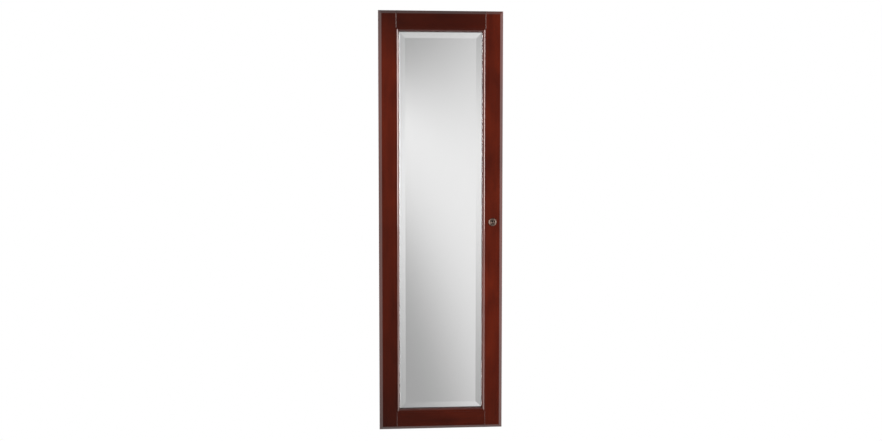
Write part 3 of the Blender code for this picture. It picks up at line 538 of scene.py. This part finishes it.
brass = metal_finish("brass", (0.60, 0.41, 0.185), (0.34, 0.22, 0.10), 0.30)
for n in (1, 2, 3, 4):
    low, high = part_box(f"guard_rod_{n}")
    half = (high.x - low.x) / 2
    end = [
        (FERRULE_R - 0.0004, 0.0), (FERRULE_R, 0.0004), (FERRULE_R, FERRULE_L - 0.0008),
        (FERRULE_R - 0.0005, FERRULE_L - 0.0002), (ROD_R + 0.0003, FERRULE_L),
    ]
    profile = [(r, h - half) for r, h in end] + [(ROD_R, FERRULE_L - half), (ROD_R, half - FERRULE_L)]
    profile += [(r, half - h) for r, h in reversed(end)]
    rod = mesh_object(f"brass_rod_{n}", [turned_shape(profile, (low + high) / 2, (1, 0, 0), 32)], brass)
    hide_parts(f"guard_rod_{n}")
    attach(rod, "cabinet")

# ---------------------------------------------------------------- Ring tray
# A shallow cherry tray on the back, filled with foam rolls in plush. Rings are pressed in between the rolls.
ROLL_WAVE = 0.00030
ROLL_END = 0.0050

dress("ring_tray", wood_finish("cherry_ring_tray", "x", (0.7, 0.4, 0.9)), 0.0007)
plush = velvet_finish("ring_plush", (0.010, 0.009, 0.010), (0.030, 0.028, 0.031), 0.16, 60.0)


def roll_shape(low, high, seed):
    """A stuffed roll along x.

    Its section is a rounded box that bulges to the front: |cos|^0.75 across, and in depth |sin|^0.85 in
    front and |sin|^0.45 behind. It narrows to each end along a quarter circle, and slow waves run along
    it where the foam gives.
    """
    rng = np.random.default_rng(seed)
    around = np.arange(40) * 2 * np.pi / 40
    t = np.concatenate([
        (1 - np.cos(np.linspace(0.12, np.pi / 2, 8))) * ROLL_END,
        np.linspace(ROLL_END, high.x - low.x - ROLL_END, 90)[1:-1],
        high.x - low.x - (1 - np.cos(np.linspace(np.pi / 2, 0.12, 8))) * ROLL_END,
    ])
    from_end = np.clip(np.minimum(t, high.x - low.x - t) / ROLL_END, 0, 1)
    full = np.sqrt(np.clip(1 - (1 - from_end) ** 2, 0.02, 1))[:, None]
    phases = rng.uniform(0, 2 * np.pi, 4)
    wave = sum(np.sin(t * 2 * np.pi / p + f) for p, f in zip((0.150, 0.083, 0.047, 0.021), phases)) / 4
    c, s = np.cos(around)[None, :], np.sin(around)[None, :]
    half_z, half_y = (high.z - low.z) / 2, (high.y - low.y) / 2
    plump = 1 - ROLL_WAVE / half_z * (1 + wave[:, None])
    z = np.sign(c) * np.abs(c) ** 0.75 * half_z * full * plump
    y = np.where(s < 0, -np.abs(s) ** 0.85, np.abs(s) ** 0.45) * half_y * np.where(s < 0, full * plump, 1.0)
    x = np.broadcast_to(low.x + t[:, None], z.shape)
    centre = (low + high) / 2
    return loft_shape(np.stack([x, centre.y + y, centre.z + z], axis=2))


for n in range(1, 6):
    low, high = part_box(f"ring_roll_{n}")
    roll = mesh_object(f"plush_roll_{n}", [roll_shape(low, high, 40 + n)], plush, 60.0)
    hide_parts(f"ring_roll_{n}")
    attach(roll, "cabinet")

# ---------------------------------------------------------------- Earring bars
# Notched cherry slats that stand clear of the back, so that an earring's hook goes through a notch.
for n in (1, 2, 3):
    dress(f"earring_bar_{n}", wood_finish(f"cherry_earring_bar_{n}", "x", (0.23 * n, 0.8, 0.19 * n)), 0.0004)

# ---------------------------------------------------------------- Necklace rail and hooks
# A cherry rail across the back with seven bent brass-wire hooks. Each hook is brazed into a turned rose
# and ends in a small ball, so that a fine chain doesn't snag.
WIRE_R = 0.0014
BALL_R = 0.0020
REACH = 0.006
SHOULDER_R = 0.004
THROAT_R = 0.0055
TIP_RISE = 0.0040
ROSE_R = 0.0045
ROSE_T = 0.0018


def swept_shape(path, radii, sides=20):
    """A round wire along a path in a plane of constant x, with a radius for each of the path's points."""
    path, radii = np.asarray(path), np.asarray(radii)[:, None, None]
    along = np.gradient(path, axis=0)
    along /= np.linalg.norm(along, axis=1)[:, None]
    across = np.array([1.0, 0.0, 0.0])
    third = np.cross(along, across)
    angle = np.arange(sides) * 2 * np.pi / sides
    ring = np.cos(angle)[None, :, None] * across + np.sin(angle)[None, :, None] * third[:, None, :]
    return loft_shape(path[:, None, :] + radii * ring)


dress("necklace_rail", wood_finish("cherry_necklace_rail", "x", (0.35, 0.15, 0.45)), 0.0010)
turn = np.linspace(0, np.pi / 2, 9)[1:]
bend = np.linspace(0, np.pi, 19)[1:]
hook_y = np.concatenate([
    [-ROSE_T * 0.5, -REACH * 0.5, -REACH], -REACH - SHOULDER_R * np.sin(turn),
    -REACH - SHOULDER_R - THROAT_R * (1 - np.cos(bend)),
])
hook_rise = np.concatenate([
    [0, 0, 0], -SHOULDER_R * (1 - np.cos(turn)), -SHOULDER_R - THROAT_R * np.sin(bend),
])
tip = np.linspace(0, 1, 9)[1:]
hook_y = np.concatenate([hook_y, np.full(len(tip), hook_y[-1])])
hook_rise = np.concatenate([hook_rise, -SHOULDER_R + tip * TIP_RISE])
hook_r = np.full(len(hook_y), WIRE_R)
hook_r[-6:] = np.maximum(WIRE_R, BALL_R * np.sqrt(np.clip(1 - np.linspace(-0.9, 1, 6) ** 2, 0.02, 1)))
hook_r[-1] = 0.0005
rail_low, rail_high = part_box("necklace_rail")
for n in range(1, 8):
    low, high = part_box(f"necklace_hook_{n}")
    centre = Vector(((low.x + high.x) / 2, high.y, (rail_low.z + rail_high.z) / 2))
    path = np.stack([np.full(len(hook_y), centre.x), centre.y + hook_y, centre.z + hook_rise], axis=1)
    rose = [
        (ROSE_R, 0.0), (ROSE_R, 0.0005), (ROSE_R - 0.0004, 0.0008), (ROSE_R * 0.62, ROSE_T * 0.75),
        (WIRE_R + 0.0005, ROSE_T), (WIRE_R, ROSE_T + 0.0004),
    ]
    shapes = [swept_shape(path, hook_r), turned_shape(rose, centre, (0, -1, 0), 32)]
    hook = mesh_object(f"brass_hook_{n}", shapes, brass, 40.0)
    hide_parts(f"necklace_hook_{n}")
    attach(hook, "cabinet")

# ---------------------------------------------------------------- Bracelet rod
# A turned cherry dowel across the cabinet, let into a blind hole at each end.
DOWEL_EASE = 0.0005

low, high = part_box("bracelet_rod")
half, radius = (high.x - low.x) / 2, (high.z - low.z) / 2
profile = [
    (radius - DOWEL_EASE, -half), (radius, DOWEL_EASE - half),
    (radius, half - DOWEL_EASE), (radius - DOWEL_EASE, half),
]
dowel = mesh_object(
    "bracelet_dowel", [turned_shape(profile, (low + high) / 2, (1, 0, 0), 64)],
    wood_finish("cherry_dowel", "x", (0.15, 0.55, 0.25)))
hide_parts("bracelet_rod")
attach(dowel, "cabinet")

# ---------------------------------------------------------------- Door frame
# Two full-height stiles with two coped rails between them, in cherry. The outer edge is routed after the
# glue-up: a slope with a rounded arris. The inner edge is moulded round the mirror, and the joints' edges
# are eased to a V.
STILE_W = 0.061
OUTER_W = 0.0095
OUTER_STEP = 0.0008
OUTER_SLOPE = math.radians(40)
ARRIS_R = 0.0035
INNER_W = 0.0100
INNER_STEP = 0.0007
INNER_D = 0.0090
INNER_ARC = 76
LIP_D = 0.0120
REBATE_W = 0.0060
COPE_GAP = 0.0002
EASE_W = 0.0005
EASE_D = 0.0002
LOCK_HOLE_R = 0.0073

left_low, left_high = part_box("door_stile_left")
_, right_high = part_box("door_stile_right")
door_low = Vector((left_low.x, left_low.y, left_low.z))
door_high = Vector((right_high.x, left_high.y, left_high.z))
door_mid = (door_low + door_high) / 2
door_tall = door_high.z - door_low.z
inner_start = STILE_W - INNER_W
side_twist = np.linspace(0, np.pi / 2 - OUTER_SLOPE, 7)
arris_w = ARRIS_R * (1 - math.sin(OUTER_SLOPE))
outer_d = OUTER_STEP + (OUTER_W - arris_w) * math.tan(OUTER_SLOPE) + ARRIS_R * math.cos(OUTER_SLOPE)
# Each moulding as (from the door's edge, behind the face) points.
OUTER = np.concatenate([
    np.stack([ARRIS_R * (1 - np.cos(side_twist)), outer_d - ARRIS_R * np.sin(side_twist)], axis=1),
    [(OUTER_W, OUTER_STEP), (OUTER_W + 0.00002, 0.0)],
])
quarter = np.linspace(0, math.radians(INNER_ARC), 15)
fall = (1 - np.cos(quarter)) / (1 - np.cos(quarter[-1]))
INNER = np.concatenate([
    [(inner_start - 0.00012, 0.0), (inner_start, 0.00012), (inner_start + 0.00002, INNER_STEP)],
    np.stack([inner_start + INNER_W * np.sin(quarter) / np.sin(quarter[-1]),
              INNER_STEP + (INNER_D - INNER_STEP) * fall], axis=1)[1:],
])


def outer_depth(u):
    """How far behind the face the outer moulding is, at u from the door's edge."""
    return np.interp(u, OUTER[:, 0], OUTER[:, 1])


def inner_depth(u):
    """How far behind the face the inner moulding is, at u from the door's edge."""
    return np.interp(u, INNER[:, 0], INNER[:, 1])


def slab_shape(x, z, near, far):
    """A closed solid between a near sheet and a far one, over one lattice of x and z.

    Each cell is cut along the diagonal that points to the lattice's middle, so that two mouldings meet in
    a mitre.
    """
    m, n = x.shape
    index = np.arange(m * n).reshape(m, n)
    a, b = index[:-1, :-1].ravel(), index[1:, :-1].ravel()
    c, d = index[1:, 1:].ravel(), index[:-1, 1:].ravel()
    i, j = np.meshgrid(np.arange(m - 1), np.arange(n - 1), indexing="ij")
    rising = (((i - (m - 2) / 2) * (j - (n - 2) / 2)) > 0).ravel()
    first = np.where(rising[:, None], np.stack([a, b, c], 1), np.stack([a, b, d], 1))
    second = np.where(rising[:, None], np.stack([a, c, d], 1), np.stack([b, c, d], 1))
    sheet = np.concatenate([first, second])
    rim = np.concatenate([index[:, 0], index[-1, 1:], index[-2::-1, -1], index[0, -2:0:-1]])
    after = np.roll(rim, -1)
    wall = np.stack([rim, after, after + m * n, rim + m * n], 1)
    points = np.concatenate([np.stack([x, y, z], axis=2).reshape(-1, 3) for y in (near, far)])
    return points, sheet.tolist() + (sheet[:, ::-1] + m * n).tolist() + wall.tolist()


def lattice(*stretches):
    """Sorted places from several stretches, without doubles."""
    places = np.sort(np.concatenate([np.atleast_1d(s) for s in stretches]))
    return places[np.concatenate([[True], np.diff(places) > 1e-7])]


def drilled(piece, centre, radius):
    """Bores a hole along y through a piece, in its mesh."""
    shape = turned_shape([(radius, -0.1), (radius, 0.1)], centre, (0, 1, 0), 48)
    cutter = mesh_object("drill", [shape], None)
    bore = piece.modifiers.new("bore", "BOOLEAN")
    bore.operation, bore.solver, bore.object = "DIFFERENCE", "EXACT", cutter
    cut = bpy.data.meshes.new_from_object(piece.evaluated_get(bpy.context.evaluated_depsgraph_get()))
    piece.modifiers.clear()
    piece.data = cut
    cut.name = piece.name
    cut.set_sharp_from_angle(angle=math.radians(24))
    bpy.data.objects.remove(cutter)


def flat_faces(piece):
    """Flat shading on the faces square to an axis, so that the mouldings' rounding stays off them."""
    for polygon in piece.data.polygons:
        polygon.use_smooth = max(abs(part) for part in polygon.normal) < 0.99999


rebate = STILE_W - REBATE_W
across_places = lattice(OUTER[:, 0], INNER[:, 0], rebate - 1e-6, rebate, 0.020, 0.030, 0.040)
end_places = OUTER[:, 0]
length_places = lattice(end_places, door_tall - end_places, np.linspace(0.03, door_tall - 0.03, 41))
lock_low, lock_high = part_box("lock_housing")
lock_at = (lock_low + lock_high) / 2


def back_depth(u):
    """The back's depth at u from the door's edge: the full thickness, or the lip in front of the rebate."""
    return np.where(u > rebate - 5e-7, LIP_D, door_high.y - door_low.y)


# Each stile's lightness list is partly the wood's own colour and partly painted light and shade: the left
# stile is painted darker at its foot and its head, the right one lighter than the left.
for side, way, shift, tone_and_shade in (
    ("left", -1, (0.31, 0.12, 0.1), (0.27, 0.43, 0.66, 0.72, 0.74, 0.84, 0.94, 1.02, 0.34)),
    ("right", 1, (0.62, 0.42, 0.7), (0.72, 1.0, 1.2, 1.3, 1.08, 1.02, 1.02, 1.05, 1.1)),
):
    u, v = np.meshgrid(across_places, length_places, indexing="ij")
    depth = np.maximum(np.maximum(outer_depth(u), outer_depth(np.minimum(v, door_tall - v))), inner_depth(u))
    edge = door_high.x if way > 0 else door_low.x
    shape = slab_shape(edge - way * u, door_low.z + v, door_low.y + depth, door_low.y + back_depth(u))
    stile = mesh_object(f"stile_{side}", [shape], wood_finish(f"cherry_stile_{side}", "z", shift, tone_and_shade), 24.0)
    if way > 0:
        drilled(stile, lock_at, LOCK_HOLE_R)
    flat_faces(stile)
    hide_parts(f"door_stile_{side}")
    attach(stile, "door")

half_door = (door_high.x - door_low.x) / 2
# Each rail's lightness list is partly the wood's own colour and partly painted shade: both rails are painted
# darker than the stiles, the top one the more.
for name, way, tone_and_shade in (
    ("top", 1, (0.34, 0.38, 0.44, 0.58, 0.58)), ("bottom", -1, (0.40, 0.44, 0.62, 0.66, 0.54)),
):
    # Along the rail: from the shoulder over the stile's moulding to the sight edge, then across the
    # opening. In the moulding itself the shoulder follows the mitre.
    v = across_places[None, :]
    shoulder = np.clip(v, inner_start, STILE_W - 0.0002) + COPE_GAP
    over = np.linspace(0, 1, 13)[:, None]
    clear = STILE_W + COPE_GAP
    ease_steps = np.array([0.0, 0.2, 0.45, 0.7, 1.0])[:, None] * EASE_W
    cope = np.concatenate([shoulder + np.minimum(ease_steps, (clear - shoulder) * 0.3),
                           (shoulder + EASE_W) + over[1:] * (clear - shoulder - EASE_W)])
    cope = np.maximum.accumulate(np.minimum(cope, clear), axis=0)
    across = np.concatenate([cope, clear + 1e-6 + np.array([0.0, 0.03, 0.07])[:, None] + 0 * v])
    u = np.concatenate([across, 2 * half_door - across[::-1]])
    from_side = np.minimum(u, 2 * half_door - u)
    vv = np.broadcast_to(v, u.shape)
    eased = EASE_D * np.clip(1 - (from_side - shoulder) / EASE_W, 0, 1) ** 1.5
    near = np.maximum(np.maximum(outer_depth(vv), inner_depth(vv)), eased)
    coped = np.maximum(inner_depth(from_side) - COPE_GAP, near + 0.0001)
    far = np.where(from_side > clear + 5e-7, back_depth(vv), coped)
    edge = door_high.z if way > 0 else door_low.z
    shapes = [slab_shape(door_low.x + u, edge - way * vv, door_low.y + near, door_low.y + far)]
    for end in (-1, 1):
        tongue_x = np.array([rebate + COPE_GAP, clear + 0.002]) - half_door
        tongue_z = edge - way * np.array([outer_d + 0.0005, rebate])
        tx, tz = np.meshgrid(door_mid.x + end * tongue_x, tongue_z, indexing="ij")
        front = np.full((2, 2), door_low.y + LIP_D + COPE_GAP)
        shapes.append(slab_shape(tx, tz, front, np.full((2, 2), door_high.y)))
    finish = wood_finish(f"cherry_rail_{name}", "x", (0.2, 0.4 + 0.1 * way, 0.1), tone_and_shade)
    rail = mesh_object(f"rail_{name}", shapes, finish, 24.0)
    flat_faces(rail)
    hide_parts(f"door_rail_{name}")
    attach(rail, "door")

# ---------------------------------------------------------------- Mirror
# Float glass with a polished bevel all round, silvered on its flat back with a faintly cloudy coat. The
# silver shows through the glass, so the bevel bends what it shows instead of tilting it.
BEVEL_W = 0.0218
BEVEL_D = 0.0008
SILVER_T = 0.0003
SILVER_GAP = 0.00005

glass_low, glass_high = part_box("mirror_glass")
clear_glass, _, glass_shader = plain_finish("clear_glass", (0.995, 0.995, 0.995), 0.0)
glass_shader.inputs["Transmission Weight"].default_value = 1.0
glass_shader.inputs["IOR"].default_value = 1.52
silvering, tree, silver_shader = plain_finish("silvering", (0.965, 0.965, 0.965), 0.012, 1.0)
calc, _ = node_maths(tree)
tree.links.new(calc("MULTIPLY_ADD", noise_on(tree, 35.0), 0.006, 0.009), silver_shader.inputs["Roughness"])
x_places = lattice(glass_low.x, glass_low.x + BEVEL_W, glass_high.x - BEVEL_W, glass_high.x)
z_places = lattice(glass_low.z, glass_low.z + BEVEL_W, glass_high.z - BEVEL_W, glass_high.z)
gx, gz = np.meshgrid(x_places, z_places, indexing="ij")
inset = np.minimum.reduce([gx - glass_low.x, glass_high.x - gx, gz - glass_low.z, glass_high.z - gz])
bevel = glass_low.y + BEVEL_D * np.clip(1 - inset / BEVEL_W, 0, 1)
rear = np.full_like(gx, glass_high.y - SILVER_T - SILVER_GAP)
glass = mesh_object("mirror_plate", [slab_shape(gx, gz, bevel, rear)], clear_glass, 0.5)
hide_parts("mirror_glass")
silver = mesh_object(
    "mirror_silvering", [slab_shape(gx, gz, rear + SILVER_GAP, np.full_like(gx, glass_high.y))], silvering)
for made in (glass, silver):
    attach(made, "door")

# ---------------------------------------------------------------- Hinges
# Three solid-drawn brass butt hinges. One leaf is screwed to the cabinet's side and one to the door's
# back, and a pin with two turned heads runs through the knuckles.
LEAF_T = 0.0012
LEAF_CORNER = 0.0025
KNUCKLE_R = 0.0030
KNUCKLE_GAP = 0.0004
KNUCKLE_EASE = 0.0002
ROOT = KNUCKLE_R + 0.0006  # from the pin's axis to the leaf's flat
STRAP_IN = 0.0010  # from the pin's axis to the start of the strap that joins a knuckle to its leaf
STRAP_LAP = 0.004
PIN_R = 0.0014
PIN_BORE_R = 0.0016
PIN_HEAD_R = 0.0028
PIN_HEAD_H = 0.0022
LEAF_SCREW_R = 0.0028
LEAF_SCREW_PITCH = 0.0165
LEAF_SCREW_INSET = 0.0065
LEAF_SCREW_STAGGER = 0.004


def plate_shape(low, high, out, corner, ease=0.0002):
    """A flat plate between two corners, with rounded corners seen along out and eased edges."""
    centre, size = (Vector(low) + Vector(high)) / 2, Vector(high) - Vector(low)
    axis = max(range(3), key=lambda k: abs(out[k]))
    aimed = Vector(out).to_track_quat("Z", "Y").to_matrix()
    spans = [sum(abs(aimed[j][k] * size[j]) for j in range(3)) for k in (0, 1)]
    a, b, t = spans[0] / 2, spans[1] / 2, size[axis] / 2
    swing = np.linspace(0, np.pi / 2, 7)
    loops = []
    for less, height in ((ease, -t), (0.0, ease - t), (0.0, t - ease), (ease, t)):
        r = corner - less
        quarters = [
            np.stack([sx * (a - corner) + r * np.cos(swing + q), sy * (b - corner) + r * np.sin(swing + q)],
                     axis=1)
            for q, sx, sy in ((0, 1, 1), (np.pi / 2, -1, 1), (np.pi, -1, -1), (1.5 * np.pi, 1, -1))
        ]
        flat = np.concatenate(quarters)
        loops.append(np.concatenate([flat, np.full((len(flat), 1), height)], axis=1))
    points, faces = loft_shape(loops)
    return placed(points, centre, out), faces


for n in (1, 2, 3):
    pin_low, pin_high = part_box(f"hinge_pin_{n}")
    axis = (pin_low + pin_high) / 2
    low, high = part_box(f"hinge_cabinet_leaf_{n}")
    third = (high.z - low.z) / 3
    length = third - KNUCKLE_GAP
    knuckle = [
        (PIN_BORE_R, 0.0), (KNUCKLE_R - KNUCKLE_EASE, 0.0), (KNUCKLE_R, KNUCKLE_EASE),
        (KNUCKLE_R, length - KNUCKLE_EASE), (KNUCKLE_R - KNUCKLE_EASE, length), (PIN_BORE_R, length),
    ]
    # The cabinet's leaf lies along the side, with the two end knuckles.
    face_x = axis.x + KNUCKLE_R - LEAF_T
    corners = (face_x, axis.y + ROOT, low.z), (face_x + LEAF_T, high.y, high.z)
    shapes = [plate_shape(*corners, (-1, 0, 0), LEAF_CORNER)]
    for start in (low.z, high.z - length):
        corners = (
            (face_x, axis.y + STRAP_IN, start), (face_x + LEAF_T, axis.y + ROOT + STRAP_LAP, start + length)
        )
        shapes.append(plate_shape(*corners, (-1, 0, 0), 0.0003, 0.0001))
        shapes.append(turned_shape(knuckle, (axis.x, axis.y, start), (0, 0, 1), 40, 0.0, True))
    for k in (-1, 0, 1):
        inset = LEAF_SCREW_INSET + LEAF_SCREW_STAGGER * (k == 0)
        at = (face_x, high.y - inset, axis.z + k * LEAF_SCREW_PITCH)
        shapes.append(screw_shape(at, (-1, 0, 0), LEAF_SCREW_R, SCREW_TURNS[(n + k) % 7]))
    leaf = mesh_object(f"cabinet_leaf_{n}", shapes, brass)
    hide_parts(f"hinge_cabinet_leaf_{n}")
    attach(leaf, "cabinet")
    # The door's leaf lies on its back, with the middle knuckle.
    low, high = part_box(f"hinge_door_leaf_{n}")
    face_y = axis.y - KNUCKLE_R + LEAF_T
    corners = (axis.x + ROOT, face_y - LEAF_T, low.z), (high.x, face_y, high.z)
    shapes = [plate_shape(*corners, (0, 1, 0), LEAF_CORNER)]
    start = axis.z - length / 2
    corners = (
        (axis.x + STRAP_IN, face_y - LEAF_T, start), (axis.x + ROOT + STRAP_LAP, face_y, start + length)
    )
    shapes.append(plate_shape(*corners, (0, 1, 0), 0.0003, 0.0001))
    shapes.append(turned_shape(knuckle, (axis.x, axis.y, start), (0, 0, 1), 40, 0.0, True))
    for k in (-1, 0, 1):
        inset = LEAF_SCREW_INSET + LEAF_SCREW_STAGGER * (k == 0)
        at = (high.x - inset, face_y, axis.z + k * LEAF_SCREW_PITCH)
        shapes.append(screw_shape(at, (0, 1, 0), LEAF_SCREW_R, SCREW_TURNS[(n + k + 3) % 7], 0.0001))
    leaf = mesh_object(f"door_leaf_{n}", shapes, brass)
    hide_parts(f"hinge_door_leaf_{n}")
    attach(leaf, "door")
    # The pin, with a turned head at each end.
    top = pin_high.z - axis.z
    head = [(PIN_HEAD_R - 0.0002, top - PIN_HEAD_H), (PIN_HEAD_R, top - PIN_HEAD_H + 0.0002)]
    dome = np.linspace(0.15, np.pi / 2 - 0.1, 7)
    head += [(PIN_HEAD_R * math.cos(a), top - 0.0015 + 0.0015 * math.sin(a)) for a in dome]
    shank = [(PIN_R, PIN_HEAD_H - top), (PIN_R, top - PIN_HEAD_H)]
    profile = [(r, -h) for r, h in reversed(head)] + shank + head
    pin = mesh_object(f"turned_pin_{n}", [turned_shape(profile, axis, (0, 0, 1), 40)], brass)
    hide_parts(f"hinge_pin_{n}")
    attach(pin, "cabinet")

# ---------------------------------------------------------------- Lock
# A cam lock through the right stile, in dark pewter: a ring with a rounded rim, a plug with an upright
# keyway, and behind the door a zinc-plated nut, cam and screw.
BARREL_R = 0.0070
BORE_R = 0.0056
PLUG_R = 0.0054
TAIL_R = 0.0034
KEYWAY_HALF_W = 0.0010
KEYWAY_HALF_H = 0.0035
KEYWAY_DEPTH = 0.009
FLANGE_T = 0.0025
ROLL_W = 0.0022
ROLL_RISE = 0.0016
NUT_HALF = 0.0085

pewter = metal_finish("pewter", (0.150, 0.106, 0.086), (0.062, 0.044, 0.036), 0.38)
face_y, end_y = lock_low.y, lock_high.y
flange_r = (lock_high.x - lock_low.x) / 2
rim = np.linspace(0, np.pi, 15)
length = end_y - face_y
profile = [(BORE_R, length), (BARREL_R - 0.0003, length), (BARREL_R, length - 0.0003)]
profile += [(BARREL_R, FLANGE_T), (flange_r - 0.0001, FLANGE_T), (flange_r, FLANGE_T - 0.0002)]
profile += [(flange_r - ROLL_W * (1 - math.cos(a)), ROLL_RISE * (1 - math.sin(a))) for a in rim]
profile += [(BORE_R + 0.0003, ROLL_RISE), (BORE_R, ROLL_RISE + 0.0003)]
at = Vector((lock_at.x, face_y, lock_at.z))
housing = mesh_object("lock_ring", [turned_shape(profile, at, (0, 1, 0), 96, 0.0, True)], pewter, 35.0)
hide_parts("lock_housing")
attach(housing, "door")

plug_low, plug_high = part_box("lock_plug")
sectors = 96
angle = (np.arange(sectors) + 0.5) * 2 * np.pi / sectors
keyway = np.minimum(KEYWAY_HALF_W / np.abs(np.cos(angle)), KEYWAY_HALF_H / np.abs(np.sin(angle)))
shoulder = lock_high.y + 0.0003 - plug_low.y
length = plug_high.y - plug_low.y
profile = [
    (TAIL_R - 0.0003, length), (TAIL_R, length - 0.0003), (TAIL_R, shoulder), (PLUG_R, shoulder),
    (PLUG_R, 0.0003), (PLUG_R - 0.0003, 0.0), (keyway + 0.0003, 0.0), (keyway, 0.0002),
    (keyway, KEYWAY_DEPTH),
]
at = Vector((lock_at.x, plug_low.y, lock_at.z))
facing = Vector((0, 1, 0)).to_track_quat("Z", "Y").to_matrix()
upright = math.pi / 2 * (abs((facing @ Vector((0, 1, 0))).z) < 0.5)
plug = mesh_object("lock_core", [turned_shape(profile, at, (0, 1, 0), sectors, upright)], pewter, 35.0)
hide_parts("lock_plug")
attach(plug, "lock")

low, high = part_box("lock_nut")
thick = high.y - low.y
nut_angle = np.arange(72) * 2 * np.pi / 72
flats = NUT_HALF / np.cos((nut_angle + np.pi / 6) % (np.pi / 3) - np.pi / 6)
chamfer = np.minimum(flats - 0.0003, NUT_HALF + 0.0004)
profile = [
    (BARREL_R + 0.0003, 0.0), (chamfer, 0.0), (flats, 0.0007),
    (flats, thick - 0.0007), (chamfer, thick), (BARREL_R + 0.0003, thick),
]
at = (lock_at.x, low.y, lock_at.z)
nut = mesh_object("hex_nut", [turned_shape(profile, at, (0, 1, 0), 72, 0.0, True)], zinc)
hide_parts("lock_nut")
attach(nut, "door")

dress("lock_cam", zinc, 0.0003)
low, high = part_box("cam_screw")
radius, thick = (high.x - low.x) / 2, high.y - low.y
arms = cross_outline(0.15 * radius, 0.55 * radius)
dome = [(radius * math.cos(a), thick * (0.45 + 0.55 * math.sin(a))) for a in np.linspace(0.05, 1.1, 7)]
profile = [(radius - 0.0002, 0.0), (radius, 0.0002)] + dome
profile += [(arms * 0.75, thick), (arms * 0.68, thick * 0.45), (arms * 0.3, thick * 0.2)]
at = (lock_at.x, low.y, lock_at.z)
screw = mesh_object("pan_screw", [turned_shape(profile, at, (0, 1, 0), 48, 0.5)], zinc)
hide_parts("cam_screw")
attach(screw, "lock")

# ---------------------------------------------------------------- Strike and catch
# A zinc-plated strike let into the right side, for the cam. A magnetic catch in a dark plastic case is
# screwed under the top panel, with two steel pole strips in its front, and its plate to the door's back.
STRIKE_SCREW_R = 0.0024
STRIKE_SCREW_INSET = 0.0040
CATCH_SCREW_R = 0.0026
POLE_T = 0.0012
POLE_INSET = 0.004

dress("strike_plate", zinc, 0.0002)
low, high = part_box("strike_plate")
screws = [
    screw_shape((low.x, (low.y + high.y) / 2, z), (-1, 0, 0), STRIKE_SCREW_R, t, 0.0001, 0.0009)
    for z, t in ((high.z - STRIKE_SCREW_INSET, 0.5), (low.z + STRIKE_SCREW_INSET, 1.2))
]
made = mesh_object("strike_screws", screws, zinc)
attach(made, "cabinet")

case, tree, case_shader = plain_finish("catch_plastic", (0.050, 0.024, 0.015), 0.45)
calc, _ = node_maths(tree)
texture = noise_on(tree, 2400.0)
tree.links.new(calc("MULTIPLY_ADD", texture, 0.24, 0.34), case_shader.inputs["Roughness"])
bumped(tree, case_shader, texture, 0.3, 0.0002)
dress("magnet_catch", case, 0.0008)
low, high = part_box("magnet_catch")
poles = [
    plate_shape((low.x + POLE_INSET, low.y - 0.0001, z - POLE_T / 2),
                (high.x - POLE_INSET, low.y + 0.001, z + POLE_T / 2), (0, -1, 0), 0.0003, 0.0001)
    for z in np.linspace(low.z, high.z, 4)[1:3]
]
made = mesh_object("catch_poles", poles, zinc)
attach(made, "cabinet")
dress("catch_plate", zinc, 0.0002)
low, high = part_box("catch_plate")
at = ((low.x + high.x) / 2, high.y, (low.z + high.z) / 2)
screw = screw_shape(at, (0, 1, 0), CATCH_SCREW_R, 0.8, 0.0001, 0.0008)
made = mesh_object("catch_plate_screw", [screw], zinc)
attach(made, "door")
